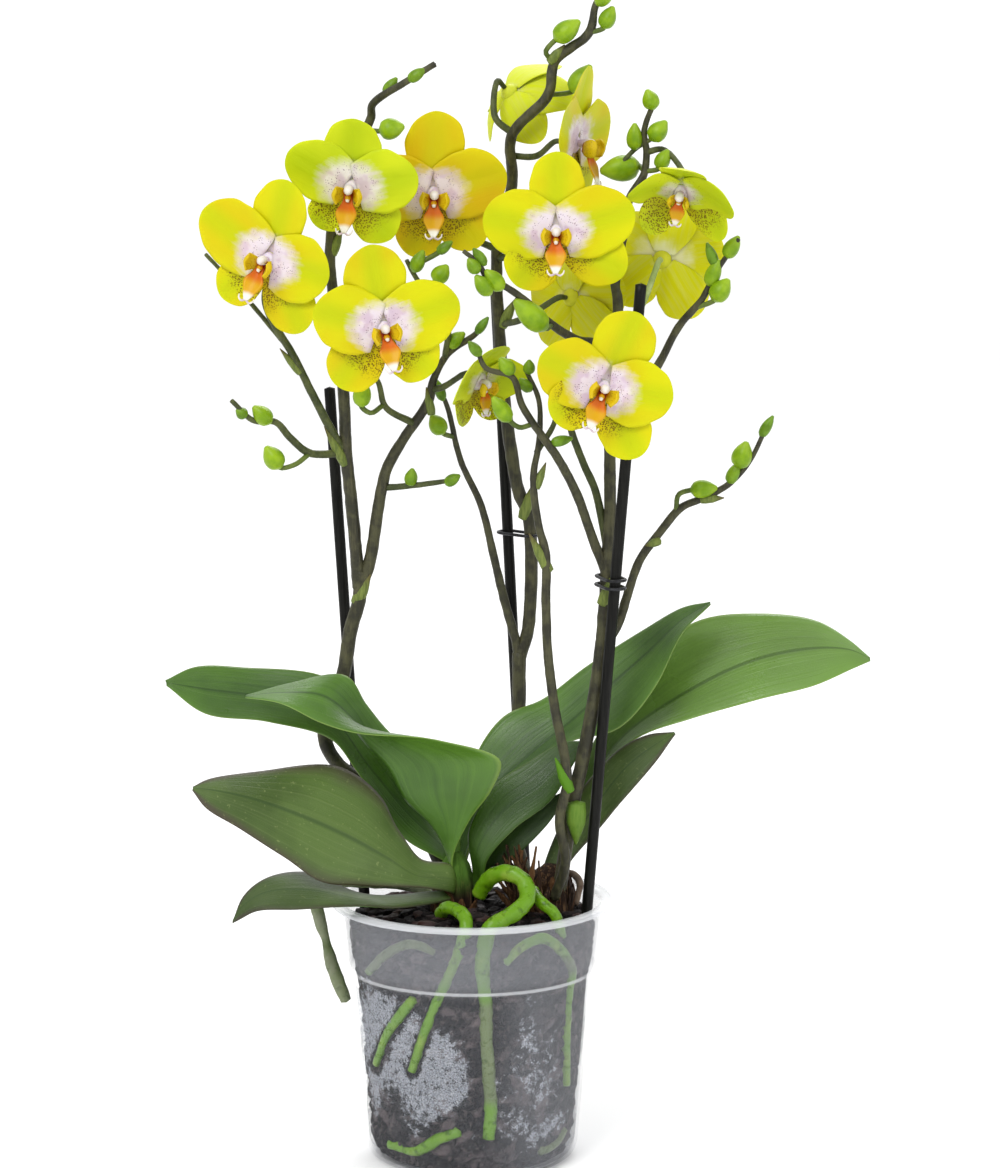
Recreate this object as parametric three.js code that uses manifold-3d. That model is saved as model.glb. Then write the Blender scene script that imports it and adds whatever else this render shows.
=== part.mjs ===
// A multiflora moth orchid in a clear plastic pot: four flower spikes on dark stakes, twelve yellow
// blooms with their lips, closed buds, broad arching leaves, and green roots against the pot wall.
// Millimetres, +Z up, +X to the right and -Y to the front. The origin is the centre of the pot's base.

import * as THREE from 'three';
import Module from 'manifold-3d';

const wasm = await Module();
wasm.setup();

// Driving dimensions of the pot, from which the mix inside it is worked out too.
const POT_HEIGHT = 112;
const RIM_RADIUS = 60;
const RIM_THICKNESS = 2.2;
const WALL = 1.2;
const TOP_RADIUS = 56;
const STEP_HEIGHT = 79;
const STEP_TOP = 83;
const ABOVE_STEP_RADIUS = 53.2;
const BELOW_STEP_RADIUS = 51.2;
const FOOT_RADIUS = 44.6;
const FOOT_ROUNDING = 5;
const BASE_THICKNESS = 1.6;
const DRAIN_HOLE_RADIUS = 4;
const DRAIN_HOLES = 6;
const DRAIN_CIRCLE_RADIUS = 27;
const POT_SEGMENTS = 24;

// The mix.
const MIX_TOP = 104;
const MIX_BUMP = 2.6;
const MIX_SIDE_GAP = 1.2;
const MIX_SEGMENTS = 24;

// Leaves, petals and stems.
const LEAF_THICKNESS = 1.5;
const TEPAL_THICKNESS = 0.9;
const STEM_RADIUS = 3;
const TWIG_RADIUS = 1.1;
const PEDICEL_RADIUS = 1.1;
const STALK_FOOT_RADIUS = 1.5;
const STEM_SIDES = 5;
const TWIG_SIDES = 4;
const STAKE_RADIUS = 2.4;
const CLIP_WIRE_RADIUS = 0.7;

// Clear distance between two pieces that touch.
const CLEARANCE = 0.3;

const part = new THREE.Group();

// ---------------------------------------------------------------- solids

const point = ([x, y, z]) => new THREE.Vector3(x, y, z);

// A solid from its skin. A skin that faces inwards is turned over.
function solid(points, triangles) {
  const skin = (faces) =>
    new wasm.Manifold(
      new wasm.Mesh({
        numProp: 3,
        vertProperties: new Float32Array(points.flatMap((p) => [p.x, p.y, p.z])),
        triVerts: new Uint32Array(faces.flat()),
      }),
    );
  const shape = skin(triangles);
  return shape.volume() > 0 ? shape : skin(triangles.map(([a, b, c]) => [a, c, b]));
}

// A closed skin over rings that hold the same number of points, with a fan at each end.
function loft(rings) {
  const count = rings[0].length;
  const points = rings.flat();
  const triangles = [];
  for (let ring = 0; ring + 1 < rings.length; ring += 1) {
    for (let side = 0; side < count; side += 1) {
      const next = (side + 1) % count;
      const a = ring * count + side;
      const b = ring * count + next;
      triangles.push([a, b, b + count], [a, b + count, a + count]);
    }
  }
  const last = (rings.length - 1) * count;
  for (let side = 1; side + 1 < count; side += 1) {
    triangles.push([0, side + 1, side], [last, last + side, last + side + 1]);
  }
  return solid(points, triangles);
}

// Value of a list of numbers at a place from 0 to 1 along it.
function along(values, place) {
  const scaled = place * (values.length - 1);
  const index = Math.min(Math.floor(scaled), values.length - 2);
  return THREE.MathUtils.lerp(values[index], values[index + 1], scaled - index);
}

// A round tube with a ring at each of the points, as thick as the list of radii says.
function tube(points, radii, sides = STEM_SIDES) {
  const curve = new THREE.CatmullRomCurve3(points.map(point), false, 'centripetal');
  const normal = new THREE.Vector3(0, 1, 0);
  const rings = points.map((_, index) => {
    const place = index / (points.length - 1);
    const centre = curve.getPoint(place);
    const tangent = curve.getTangent(place);
    normal.addScaledVector(tangent, -normal.dot(tangent)).normalize();
    const binormal = tangent.clone().cross(normal);
    const radius = along(radii, place);
    return Array.from({ length: sides }, (_, side) => {
      const angle = (2 * Math.PI * side) / sides;
      return centre
        .clone()
        .addScaledVector(normal, radius * Math.cos(angle))
        .addScaledVector(binormal, radius * Math.sin(angle));
    });
  });
  return loft(rings);
}

// A thin sheet over a grid of points, with its two faces split into triangles alike.
function blade(rows, thickness) {
  const rowCount = rows.length;
  const columnCount = rows[0].length;
  const index = (row, column) => row * columnCount + column;
  const clamp = (value, count) => Math.max(0, Math.min(count - 1, value));
  const at = (row, column) => rows[clamp(row, rowCount)][clamp(column, columnCount)];
  const upper = [];
  const lower = [];
  for (let row = 0; row < rowCount; row += 1) {
    for (let column = 0; column < columnCount; column += 1) {
      const lengthwise = at(row + 1, column).clone().sub(at(row - 1, column));
      const crosswise = at(row, column + 1).clone().sub(at(row, column - 1));
      const normal = lengthwise.cross(crosswise).normalize().multiplyScalar(thickness / 2);
      upper.push(at(row, column).clone().add(normal));
      lower.push(at(row, column).clone().sub(normal));
    }
  }
  const under = upper.length;
  const triangles = [];
  const wall = (a, b) => triangles.push([a, b + under, a + under], [a, b, b + under]);
  for (let row = 0; row + 1 < rowCount; row += 1) {
    for (let column = 0; column + 1 < columnCount; column += 1) {
      const a = index(row, column);
      const b = index(row, column + 1);
      const c = index(row + 1, column + 1);
      const d = index(row + 1, column);
      triangles.push([a, c, b], [a, d, c], [a + under, b + under, c + under]);
      triangles.push([a + under, c + under, d + under]);
    }
  }
  for (let column = 0; column + 1 < columnCount; column += 1) {
    wall(index(0, column), index(0, column + 1));
    wall(index(rowCount - 1, column + 1), index(rowCount - 1, column));
  }
  for (let row = 0; row + 1 < rowCount; row += 1) {
    wall(index(row + 1, 0), index(row, 0));
    wall(index(row, columnCount - 1), index(row + 1, columnCount - 1));
  }
  return solid([...upper, ...lower], triangles);
}

const fuse = (solids) => solids.reduce((whole, piece) => whole.add(piece));
const carve = (whole, cutters) => cutters.reduce((rest, cutter) => rest.subtract(cutter), whole);

// The largest connected skin of a solid: a scrap that a cut left loose, or a sealed hollow, goes.
function largestBody(mesh) {
  const owner = Array.from({ length: mesh.vertProperties.length / 3 }, (_, vertex) => vertex);
  const find = (vertex) => {
    while (owner[vertex] !== vertex) {
      owner[vertex] = owner[owner[vertex]];
      vertex = owner[vertex];
    }
    return vertex;
  };
  const { triVerts } = mesh;
  for (let corner = 0; corner < triVerts.length; corner += 3) {
    owner[find(triVerts[corner])] = find(triVerts[corner + 1]);
    owner[find(triVerts[corner + 1])] = find(triVerts[corner + 2]);
  }
  const sizes = new Map();
  for (let corner = 0; corner < triVerts.length; corner += 3) {
    const body = find(triVerts[corner]);
    sizes.set(body, (sizes.get(body) ?? 0) + 1);
  }
  const largest = [...sizes].sort((a, b) => b[1] - a[1])[0][0];
  const kept = [];
  for (let corner = 0; corner < triVerts.length; corner += 3) {
    if (find(triVerts[corner]) === largest) {
      kept.push(triVerts[corner], triVerts[corner + 1], triVerts[corner + 2]);
    }
  }
  return kept;
}

function place(name, shape, look) {
  const mesh = shape.getMesh();
  const geometry = new THREE.BufferGeometry();
  geometry.setAttribute('position', new THREE.BufferAttribute(new Float32Array(mesh.vertProperties), 3));
  geometry.setIndex(largestBody(mesh));
  const node = new THREE.Mesh(geometry.toNonIndexed(), new THREE.MeshStandardMaterial(look));
  node.name = name;
  node.geometry.computeVertexNormals();
  part.add(node);
}

// ---------------------------------------------------------------- looks

const CLEAR_PLASTIC = { color: 0xb9bec2, roughness: 0.25, metalness: 0 };
const BARK = { color: 0x241812, roughness: 0.95, metalness: 0 };
const OLD_LEAF_BASE = { color: 0x4a3423, roughness: 0.9, metalness: 0 };
const LEAF_GREEN = { color: 0x3f7a2c, roughness: 0.4, metalness: 0 };
const LEAF_UNDERSIDE = { color: 0x4d5f35, roughness: 0.5, metalness: 0 };
const STEM_OLIVE = { color: 0x474b33, roughness: 0.55, metalness: 0 };
const ROOT_GREEN = { color: 0x6fa11f, roughness: 0.35, metalness: 0 };
const ROOT_GREY = { color: 0x7f8b6c, roughness: 0.75, metalness: 0 };
const ROOT_DRY = { color: 0x6b5c4e, roughness: 0.9, metalness: 0 };
const STAKE_BLACK = { color: 0x17181a, roughness: 0.4, metalness: 0 };
const YELLOW = { color: 0xf0df10, roughness: 0.5, metalness: 0 };
const YELLOW_GREEN = { color: 0xb9cf2a, roughness: 0.5, metalness: 0 };
const YELLOW_ORANGE = { color: 0xf3c500, roughness: 0.5, metalness: 0 };
const LIP_ORANGE = { color: 0xe98a1c, roughness: 0.45, metalness: 0 };

// ---------------------------------------------------------------- pot

// The pot's outline from the axis out and up to the top of its step, `shrink` millimetres inside
// the outer surface, with its lowest face at the height `lowest`.
function outerProfile(shrink, lowest) {
  return [
    [0, lowest],
    [FOOT_RADIUS - FOOT_ROUNDING - shrink, lowest],
    [FOOT_RADIUS - FOOT_ROUNDING * 0.3 - shrink, lowest + FOOT_ROUNDING * 0.35],
    [FOOT_RADIUS + 0.4 - shrink, lowest + FOOT_ROUNDING * 1.2],
    [BELOW_STEP_RADIUS - shrink, STEP_HEIGHT],
    [ABOVE_STEP_RADIUS - shrink, STEP_TOP],
  ];
}

const turned = (profile, segments) => {
  const points = profile.map(([radius, height]) => new THREE.Vector2(radius, height));
  const lathe = new THREE.LatheGeometry(points, segments).rotateX(Math.PI / 2);
  return closed(lathe);
};

// A three.js geometry as a solid: corners at one place become one corner, and faces without area go.
function closed(geometry) {
  const position = geometry.getAttribute('position');
  const seen = new Map();
  const points = [];
  const corner = (vertex) => {
    const p = new THREE.Vector3().fromBufferAttribute(position, vertex);
    const key = [p.x, p.y, p.z].map((value) => Math.round(value * 1e4)).join();
    if (!seen.has(key)) {
      seen.set(key, points.length);
      points.push(p);
    }
    return seen.get(key);
  };
  const triangles = [];
  for (let i = 0; i < geometry.index.count; i += 3) {
    const [a, b, c] = [0, 1, 2].map((step) => corner(geometry.index.getX(i + step)));
    if (a !== b && b !== c && c !== a) {
      triangles.push([a, b, c]);
    }
  }
  return solid(points, triangles);
}

const upright = (x, y, bottom, top, radius, sides = 12) =>
  closed(
    new THREE.CylinderGeometry(radius, radius, top - bottom, sides)
      .rotateX(Math.PI / 2)
      .translate(x, y, (top + bottom) / 2),
  );

const drainHoles = Array.from({ length: DRAIN_HOLES }, (_, index) => {
  const angle = (2 * Math.PI * index) / DRAIN_HOLES;
  const x = DRAIN_CIRCLE_RADIUS * Math.cos(angle);
  const y = DRAIN_CIRCLE_RADIUS * Math.sin(angle);
  return upright(x, y, -1, BASE_THICKNESS + 1, DRAIN_HOLE_RADIUS);
});

const potWall = turned(
  [
    ...outerProfile(0, 0),
    [TOP_RADIUS, POT_HEIGHT - RIM_THICKNESS],
    [RIM_RADIUS - 0.5, POT_HEIGHT - RIM_THICKNESS],
    [RIM_RADIUS, POT_HEIGHT - RIM_THICKNESS / 2],
    [RIM_RADIUS - 0.6, POT_HEIGHT],
    [TOP_RADIUS - WALL, POT_HEIGHT],
    ...outerProfile(WALL, BASE_THICKNESS).reverse(),
  ],
  POT_SEGMENTS,
);
place('pot', carve(potWall, drainHoles), CLEAR_PLASTIC);

// ---------------------------------------------------------------- crowns

// Each crown is a short stem wrapped in old leaf bases, so its outline is lobed.
const CROWNS = {
  crown_left: { foot: [-8, -2, 96], head: [-7, -1, 132], radius: 10.5, lobes: 5 },
  crown_right: { foot: [30, 4, 96], head: [34, 6, 125], radius: 13, lobes: 7 },
};

function crown({ foot, head, radius, lobes }, grow) {
  const sides = lobes * 2;
  const levels = [
    [0, 0.8],
    [0.25, 1],
    [0.6, 0.92],
    [0.85, 0.66],
    [1, 0.34],
  ];
  const rings = levels.map(([height, width], level) => {
    const centre = point(foot).lerp(point(head), height);
    centre.z += level === 0 ? -grow : 0;
    centre.z += level === levels.length - 1 ? grow : 0;
    return Array.from({ length: sides }, (_, side) => {
      const angle = (2 * Math.PI * (side + 0.35 * level)) / sides;
      const lobe = side % 2 ? 0.86 : 1.06;
      const reach = radius * width * lobe + grow;
      return centre.clone().add(new THREE.Vector3(Math.cos(angle) * reach, Math.sin(angle) * reach, 0));
    });
  });
  return loft(rings);
}

for (const [name, shape] of Object.entries(CROWNS)) {
  place(name, crown(shape, 0), OLD_LEAF_BASE);
}
const crownRooms = Object.values(CROWNS).map((shape) => crown(shape, CLEARANCE));

// ---------------------------------------------------------------- leaves

// A leaf is given by cross rows from its base to its tip. Each row holds the back edge, the midrib
// and the front edge, and the last row is the tip alone.
const LEAVES = {
  leaf_back_left: [
    [[-12, 10, 130], [-9, 5, 127], [-10, 0, 126]],
    [[-29, 14, 159], [-27, 8, 146], [-29, 0, 138]],
    [[-43, 12, 185], [-44, 7, 167], [-49, 1, 166]],
    [[-60, 12, 204], [-62, 8, 190], [-59, 2, 180]],
    [[-96, 13, 209], [-89, 7, 197], [-86, -2, 188]],
    [[-117, 8, 210], [-113, 4, 201], [-112, -4, 192]],
    [[-131, 0, 205]],
  ],
  leaf_folded_left: [
    [[-5, 1, 132], [-9, -4, 128], [-8, -9, 131]],
    [[-4, 2, 147], [-16, -9, 144.5], [-1, -13, 148]],
    [[1, 5, 159], [-28, -12, 157.5], [8.5, -16, 162]],
    [[-8.5, 5, 173], [-35, -14, 171], [12, -17, 175]],
    [[-28.5, 2, 178.5], [-46, -15, 184], [-13, -26, 185]],
    [[-44, -4, 196], [-52.5, -17, 194.5], [-46.5, -29, 188]],
    [[-53, -8, 209], [-62.5, -19, 202.5], [-62, -29, 193]],
    [[-75.5, -9, 206.5], [-79, -18, 203.5], [-78.5, -26, 200.5]],
    [[-96.6, -18, 202]],
  ],
  leaf_low_left: [
    [[-9, -8, 128], [-8, -11, 122], [-9, -13, 117]],
    [[-22, -10, 131], [-23, -18, 125], [-26, -24, 122]],
    [[-31, -8, 143], [-36, -22, 134], [-46, -30, 124]],
    [[-38, -6, 157], [-51, -24, 143], [-63, -36, 127]],
    [[-56, -8, 170], [-72, -26, 153], [-78, -38, 138]],
    [[-88, -16, 170], [-92, -30, 161], [-96, -38, 150]],
    [[-109, -26, 169], [-108, -32, 165], [-110, -36, 158]],
    [[-117, -32, 166]],
  ],
  leaf_drooping_left: [
    [[-12, -9, 116.5], [-11, -11, 115], [-10, -14, 114]],
    [[-30, -16, 117], [-30, -24, 116], [-32, -32, 115]],
    [[-48, -20, 119], [-46, -32, 118], [-47, -40, 117]],
    [[-70, -24, 128], [-67, -36, 123], [-71, -46, 118]],
    [[-85, -30, 128], [-84, -38, 123], [-87, -46, 117]],
    [[-95, -36, 121], [-94, -38, 118], [-95, -42, 113]],
    [[-100, -40, 110]],
  ],
  leaf_folded_right: [
    [[-8, 8, 126], [-5, 4, 122], [-3, 1, 126]],
    [[-1, 20, 163], [8, 12, 154], [6, 4, 152]],
    [[13, 26, 185], [25, 14, 171], [25, 4, 166]],
    [[31, 28, 193], [44, 16, 186], [42, 4, 178]],
    [[50, 28, 207], [57, 18, 198], [62, 6, 184]],
    [[72, 28, 222], [74, 20, 213], [78, 8, 202]],
    [[89, 27, 232], [89, 22, 227], [90, 14, 224]],
    [[103, 22, 236]],
  ],
  leaf_long_right: [
    [[33, 12, 122], [35, 9, 119], [38, 7, 120]],
    [[46, 34, 160], [51, 28, 155], [55, 22, 154]],
    [[66, 40, 194], [66, 30, 176], [67, 20, 174]],
    [[94, 44, 222], [91, 30, 194], [93, 18, 186]],
    [[124, 44, 227], [119, 30, 208], [120, 16, 194]],
    [[147, 38, 225], [144, 28, 214], [145, 16, 200]],
    [[162, 30, 217], [161, 26, 214], [162, 20, 207]],
    [[171, 24, 210]],
  ],
  leaf_short_right: [
    [[30, 10, 121], [32, 6, 117], [35, 3, 115]],
    [[38, 14, 141], [42, 9, 134], [44, 5, 129]],
    [[50, 16, 160], [54, 10, 151], [57.5, 5, 145]],
    [[62, 17, 172], [66, 12, 166], [70, 8, 159]],
    [[75, 17, 179], [78, 14, 175], [80, 11, 171]],
    [[87.5, 14, 181]],
  ],
  leaf_narrow_right: [
    [[0, -1, 122], [3, -3, 117], [4, -5, 114]],
    [[0, -4, 141], [3, -7, 135], [6, -9, 129]],
    [[11, -2, 157], [14, -4, 151], [18, -7, 143]],
    [[25, -1, 167], [29, -3, 162], [33.5, -5, 155]],
    [[39, 0, 177], [41, -1, 174.5], [43.5, -2, 171]],
    [[49, -1, 180]],
  ],
  leaf_inner_right: [
    [[-2, 4, 119], [0, 2, 115], [2, 1, 113]],
    [[14, 3, 138], [16.5, 0, 135], [19.5, -2, 131]],
    [[27, 5, 150.5], [29, 2, 148], [32.5, 0, 144]],
    [[42.5, 3, 159]],
  ],
};
const LEAF_ROWS = 11;
const LEAF_COLUMNS = 5;
const TIP_WIDTH = 0.12;

// The rows between the given ones, from smooth curves along the edges and the midrib. The tip is a
// narrow end, not a point, so that the blade closes with a real edge there.
function leafGrid(given) {
  const before = given[given.length - 2];
  const tip = point(given[given.length - 1][0]);
  const rails = [0, 1, 2].map((rail) => {
    const end = tip.clone().lerp(point(before[rail]), TIP_WIDTH);
    const points = [...given.slice(0, -1).map((row) => point(row[rail])), end];
    return new THREE.CatmullRomCurve3(points, false, 'centripetal');
  });
  return Array.from({ length: LEAF_ROWS }, (_, row) => {
    const [back, middle, front] = rails.map((rail) => rail.getPoint(row / (LEAF_ROWS - 1)));
    return Array.from({ length: LEAF_COLUMNS }, (_, column) => {
      const across = column / (LEAF_COLUMNS - 1);
      const half = across < 0.5 ? across * 2 : (across - 0.5) * 2;
      return across < 0.5 ? back.clone().lerp(middle, half) : middle.clone().lerp(front, half);
    });
  });
}

const UNDERSIDE_SHOWN = new Set(['leaf_low_left', 'leaf_drooping_left', 'leaf_short_right']);
for (const [name, rows] of Object.entries(LEAVES)) {
  const look = UNDERSIDE_SHOWN.has(name) ? LEAF_UNDERSIDE : LEAF_GREEN;
  place(name, carve(blade(leafGrid(rows), LEAF_THICKNESS), crownRooms), look);
}

// ---------------------------------------------------------------- blooms

// In a bloom's own frame it faces -Y with its back sepal up. A tilt above 0 makes it nod. A tepal has
// an angle from up, clockwise as seen from the front, a length and a width. The three sepals come
// first, then the two petals.
const BLOOMS = {
  bloom_1: {
    at: [-84, -10, 384], turn: -22, tilt: 4, look: YELLOW,
    tepals: [[19, 36, 24], [-125, 26, 20], [151, 33, 23], [-52, 34, 29], [100, 30, 29]],
  },
  bloom_2: {
    at: [-50, 3, 413], turn: -8, tilt: 14, look: YELLOW_GREEN,
    tepals: [[6, 31, 24], [-137, 22, 18], [142, 27, 21], [-56, 30, 26], [76, 30, 27]],
  },
  bloom_3: {
    at: [-36, -26, 357], turn: 10, tilt: 2, look: YELLOW,
    tepals: [[-10, 36, 26], [-138, 30, 24], [130, 27, 23], [-72, 31, 28], [68, 33, 29]],
  },
  bloom_4: {
    at: [-16, 15, 409], turn: 4, tilt: 6, look: YELLOW_ORANGE,
    tepals: [[2, 36, 25], [-160, 27, 20], [136, 29, 21], [-75, 30, 28], [70, 32, 29]],
  },
  bloom_5: {
    at: [35, -8, 395], turn: 0, tilt: 0, look: YELLOW,
    tepals: [[1, 34, 23], [-142, 27, 23], [120, 33, 23], [-75, 31, 29], [72, 34, 29]],
  },
  bloom_6: {
    at: [54, -30, 333], turn: 4, tilt: 3, look: YELLOW,
    tepals: [[24, 35, 26], [-116, 24, 22], [152, 32, 22], [-60, 30, 28], [97, 29, 28]],
  },
  bloom_7: {
    at: [16, 46, 450], turn: 130, tilt: 38, cup: 15, look: YELLOW_GREEN,
    tepals: [[0, 25, 21], [-130, 22, 19], [130, 22, 19], [-70, 24, 23], [70, 24, 23]],
  },
  bloom_8: {
    at: [43, 21, 430], turn: 68, tilt: 6, look: YELLOW,
    tepals: [[2, 33, 24], [-140, 26, 20], [140, 26, 20], [-62, 31, 26], [74, 30, 28]],
  },
  bloom_9: {
    at: [87, -1, 412], turn: -16, tilt: 40, cup: 12, look: YELLOW_GREEN,
    tepals: [[14, 24, 20], [-130, 20, 17], [132, 24, 19], [-62, 21, 20], [86, 25, 22]],
  },
  bloom_10: {
    at: [80, 17, 382], turn: 168, tilt: 0, look: YELLOW,
    tepals: [[-12, 27, 22], [-150, 28, 22], [128, 27, 22], [-80, 26, 27], [62, 26, 27]],
  },
  bloom_11: {
    at: [42, 27, 365], turn: 140, tilt: 4, look: YELLOW,
    tepals: [[6, 26, 22], [-134, 25, 22], [138, 26, 22], [-84, 26, 27], [82, 26, 27]],
  },
  bloom_12: {
    at: [3, -3, 333], turn: 46, tilt: 22, cup: 8, look: YELLOW_GREEN,
    tepals: [[0, 20, 17], [-140, 20, 16], [140, 18, 15], [-82, 22, 21], [82, 20, 20]],
  },
};

// How far out a tepal is at each cross row, and its share of the full width there.
const TEPAL_ROWS = [0, 0.3, 0.68, 1];
const SEPAL_OUTLINE = [0.3, 0.88, 0.96, 0.3];
const PETAL_OUTLINE = [0.7, 1, 0.86, 0.3];
const SEPAL_OFFSET = -0.5;
const PETAL_OFFSET = 1.2;
const TEPAL_ROOT = 2.6;
const TEPAL_CUP = 3.2;
const TEPAL_CROSS_CUP = 0.8;
const RECEPTACLE_RADIUS = 4.2;
const RECEPTACLE_DEPTH = 3.4;
const BLOOM_FRONT = -1.9;

const bloomFrame = ({ at, turn, tilt }) =>
  new THREE.Matrix4()
    .makeTranslation(...at)
    .multiply(new THREE.Matrix4().makeRotationZ(THREE.MathUtils.degToRad(turn)))
    .multiply(new THREE.Matrix4().makeRotationX(THREE.MathUtils.degToRad(tilt)));

const moved = (rings, frame) => rings.map((ring) => ring.map((p) => p.clone().applyMatrix4(frame)));

// Petals lie in front of all three sepals, as their offset says.
function tepalGrid([angle, length, width], outline, offset, cup) {
  const turn = THREE.MathUtils.degToRad(angle);
  const outward = new THREE.Vector3(Math.sin(turn), 0, Math.cos(turn));
  const sideways = new THREE.Vector3(Math.cos(turn), 0, -Math.sin(turn));
  return outline.map((share, row) => {
    const place = TEPAL_ROWS[row];
    return [-1, 0, 1].map((side) => {
      const halfWidth = (share * width * side) / 2;
      const forward = offset + cup * place ** 2 + TEPAL_CROSS_CUP * Math.abs(side) * share;
      return new THREE.Vector3(0, -forward, 0)
        .addScaledVector(outward, TEPAL_ROOT + (length - TEPAL_ROOT) * place)
        .addScaledVector(sideways, halfWidth);
    });
  });
}

const circle = (y, radius, sides, x = 0, z = 0) =>
  Array.from({ length: sides }, (_, side) => {
    const angle = (2 * Math.PI * side) / sides;
    return new THREE.Vector3(x + radius * Math.cos(angle), y, z + radius * Math.sin(angle));
  });

function bloom(shape) {
  const frame = bloomFrame(shape);
  const tepals = shape.tepals.map((tepal, index) => {
    const isPetal = index > 2;
    const outline = isPetal ? PETAL_OUTLINE : SEPAL_OUTLINE;
    const offset = isPetal ? PETAL_OFFSET : SEPAL_OFFSET;
    const grid = tepalGrid(tepal, outline, offset, shape.cup ?? TEPAL_CUP);
    return blade(moved(grid, frame), TEPAL_THICKNESS);
  });
  const receptacle = [
    circle(BLOOM_FRONT, 3, 6),
    circle(0, RECEPTACLE_RADIUS, 6),
    circle(RECEPTACLE_DEPTH, 1.5, 6),
  ];
  return fuse([loft(moved(receptacle, frame)), ...tepals]);
}

// The lip hangs on the column's foot: two upright side lobes and a pointed middle lobe. The column
// is the rounded white nose above them. They lean as far as the back sepal does.
function lip(shape) {
  const roll = THREE.MathUtils.degToRad(shape.tepals[0][0]);
  const frame = bloomFrame(shape).multiply(new THREE.Matrix4().makeRotationY(roll));
  const column = [circle(-2, 1.8, 5, 0, 0.4), circle(-6, 2.3, 5, 0, 1.2), circle(-9, 1.3, 5, 0, 0.6)];
  const middleLobe = [
    [[-1.4, -4.8, -0.4], [1.4, -4.8, -0.4]],
    [[-3.6, -9.2, -8.4], [3.6, -9.2, -8.4]],
    [[-0.7, -12.6, -16], [0.7, -12.6, -16]],
  ];
  const sideLobes = [
    [[-6, -10.5, -2.8], [-1, -4, -2.4], [1, -4, -2.4], [6, -10.5, -2.8]],
    [[-5, -10, 2.8], [-0.8, -4.6, 0.4], [0.8, -4.6, 0.4], [5, -10, 2.8]],
  ];
  const lobes = [middleLobe, sideLobes].map((rows) =>
    blade(moved(rows.map((row) => row.map(point)), frame), TEPAL_THICKNESS),
  );
  return fuse([loft(moved(column, frame)), ...lobes]);
}

for (const [name, shape] of Object.entries(BLOOMS)) {
  place(name, bloom(shape), shape.look);
  place(name.replace('bloom', 'lip'), carve(lip(shape), [bloomRoom(shape)]), LIP_ORANGE);
}

// The room that a bloom's middle takes up in front, which its lip stays out of.
function bloomRoom(shape) {
  return loft(moved([circle(BLOOM_FRONT - CLEARANCE, 9, 8), circle(2, 9, 8)], bloomFrame(shape)));
}

// A point right behind a bloom's middle.
function behind(name, distance) {
  const back = new THREE.Vector3(0, RECEPTACLE_DEPTH + distance, 0);
  return back.applyMatrix4(bloomFrame(BLOOMS[name])).toArray();
}

// The last two points of a flower stalk: where it bends towards the bloom, and its end just short of it.
const stalkEnd = (name, bendAt) => [behind(name, bendAt), behind(name, CLEARANCE)];

// A flower stalk through the given points to its bloom.
const stalk = (points, name, bendAt) =>
  tube([...points, ...stalkEnd(name, bendAt)], [STALK_FOOT_RADIUS, PEDICEL_RADIUS], TWIG_SIDES);

// ---------------------------------------------------------------- spikes

const BUD_SIDES = 5;
const SMALL_BUD_SIDES = 4;
const SMALL_BUD_WIDTH = 6;

// A closed bud on its short stalk: a pointed egg.
function bud(foot, tip, width, stalk = []) {
  const start = point(foot);
  const end = point(tip);
  const axis = end.clone().sub(start).normalize();
  const side = new THREE.Vector3(0, 1, 0).cross(axis).normalize();
  const up = axis.clone().cross(side);
  const sides = width > SMALL_BUD_WIDTH ? BUD_SIDES : SMALL_BUD_SIDES;
  const rings = [
    [0, 0.34],
    [0.45, 1],
    [1, 0.14],
  ].map(([height, share]) => {
    const centre = start.clone().lerp(end, height);
    return Array.from({ length: sides }, (_, index) => {
      const angle = (2 * Math.PI * index) / sides;
      return centre
        .clone()
        .addScaledVector(side, (Math.cos(angle) * share * width) / 2)
        .addScaledVector(up, (Math.sin(angle) * share * width) / 2);
    });
  });
  const egg = loft(rings);
  if (!stalk.length) {
    return [egg];
  }
  const inside = start.clone().addScaledVector(axis, 1.5).toArray();
  return [egg, tube([...stalk, foot, inside], [TWIG_RADIUS, TWIG_RADIUS], TWIG_SIDES)];
}

// The scale that wraps a stem at a node, standing a little off it at its upper end.
function scale(foot, tip, width) {
  const start = point(foot);
  const end = point(tip);
  const axis = end.clone().sub(start).normalize();
  const side = new THREE.Vector3(0, 1, 0).cross(axis).normalize();
  const depth = side.clone().cross(axis);
  const ring = (centre, reach) => [
    centre.clone().addScaledVector(side, reach),
    centre.clone().addScaledVector(depth, reach),
    centre.clone().addScaledVector(side, -reach),
    centre.clone().addScaledVector(depth, -reach),
  ];
  const middle = start.clone().lerp(end, 0.45);
  return loft([ring(start, width * 0.45), ring(middle, width * 0.5), ring(end, width * 0.08)]);
}

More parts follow.
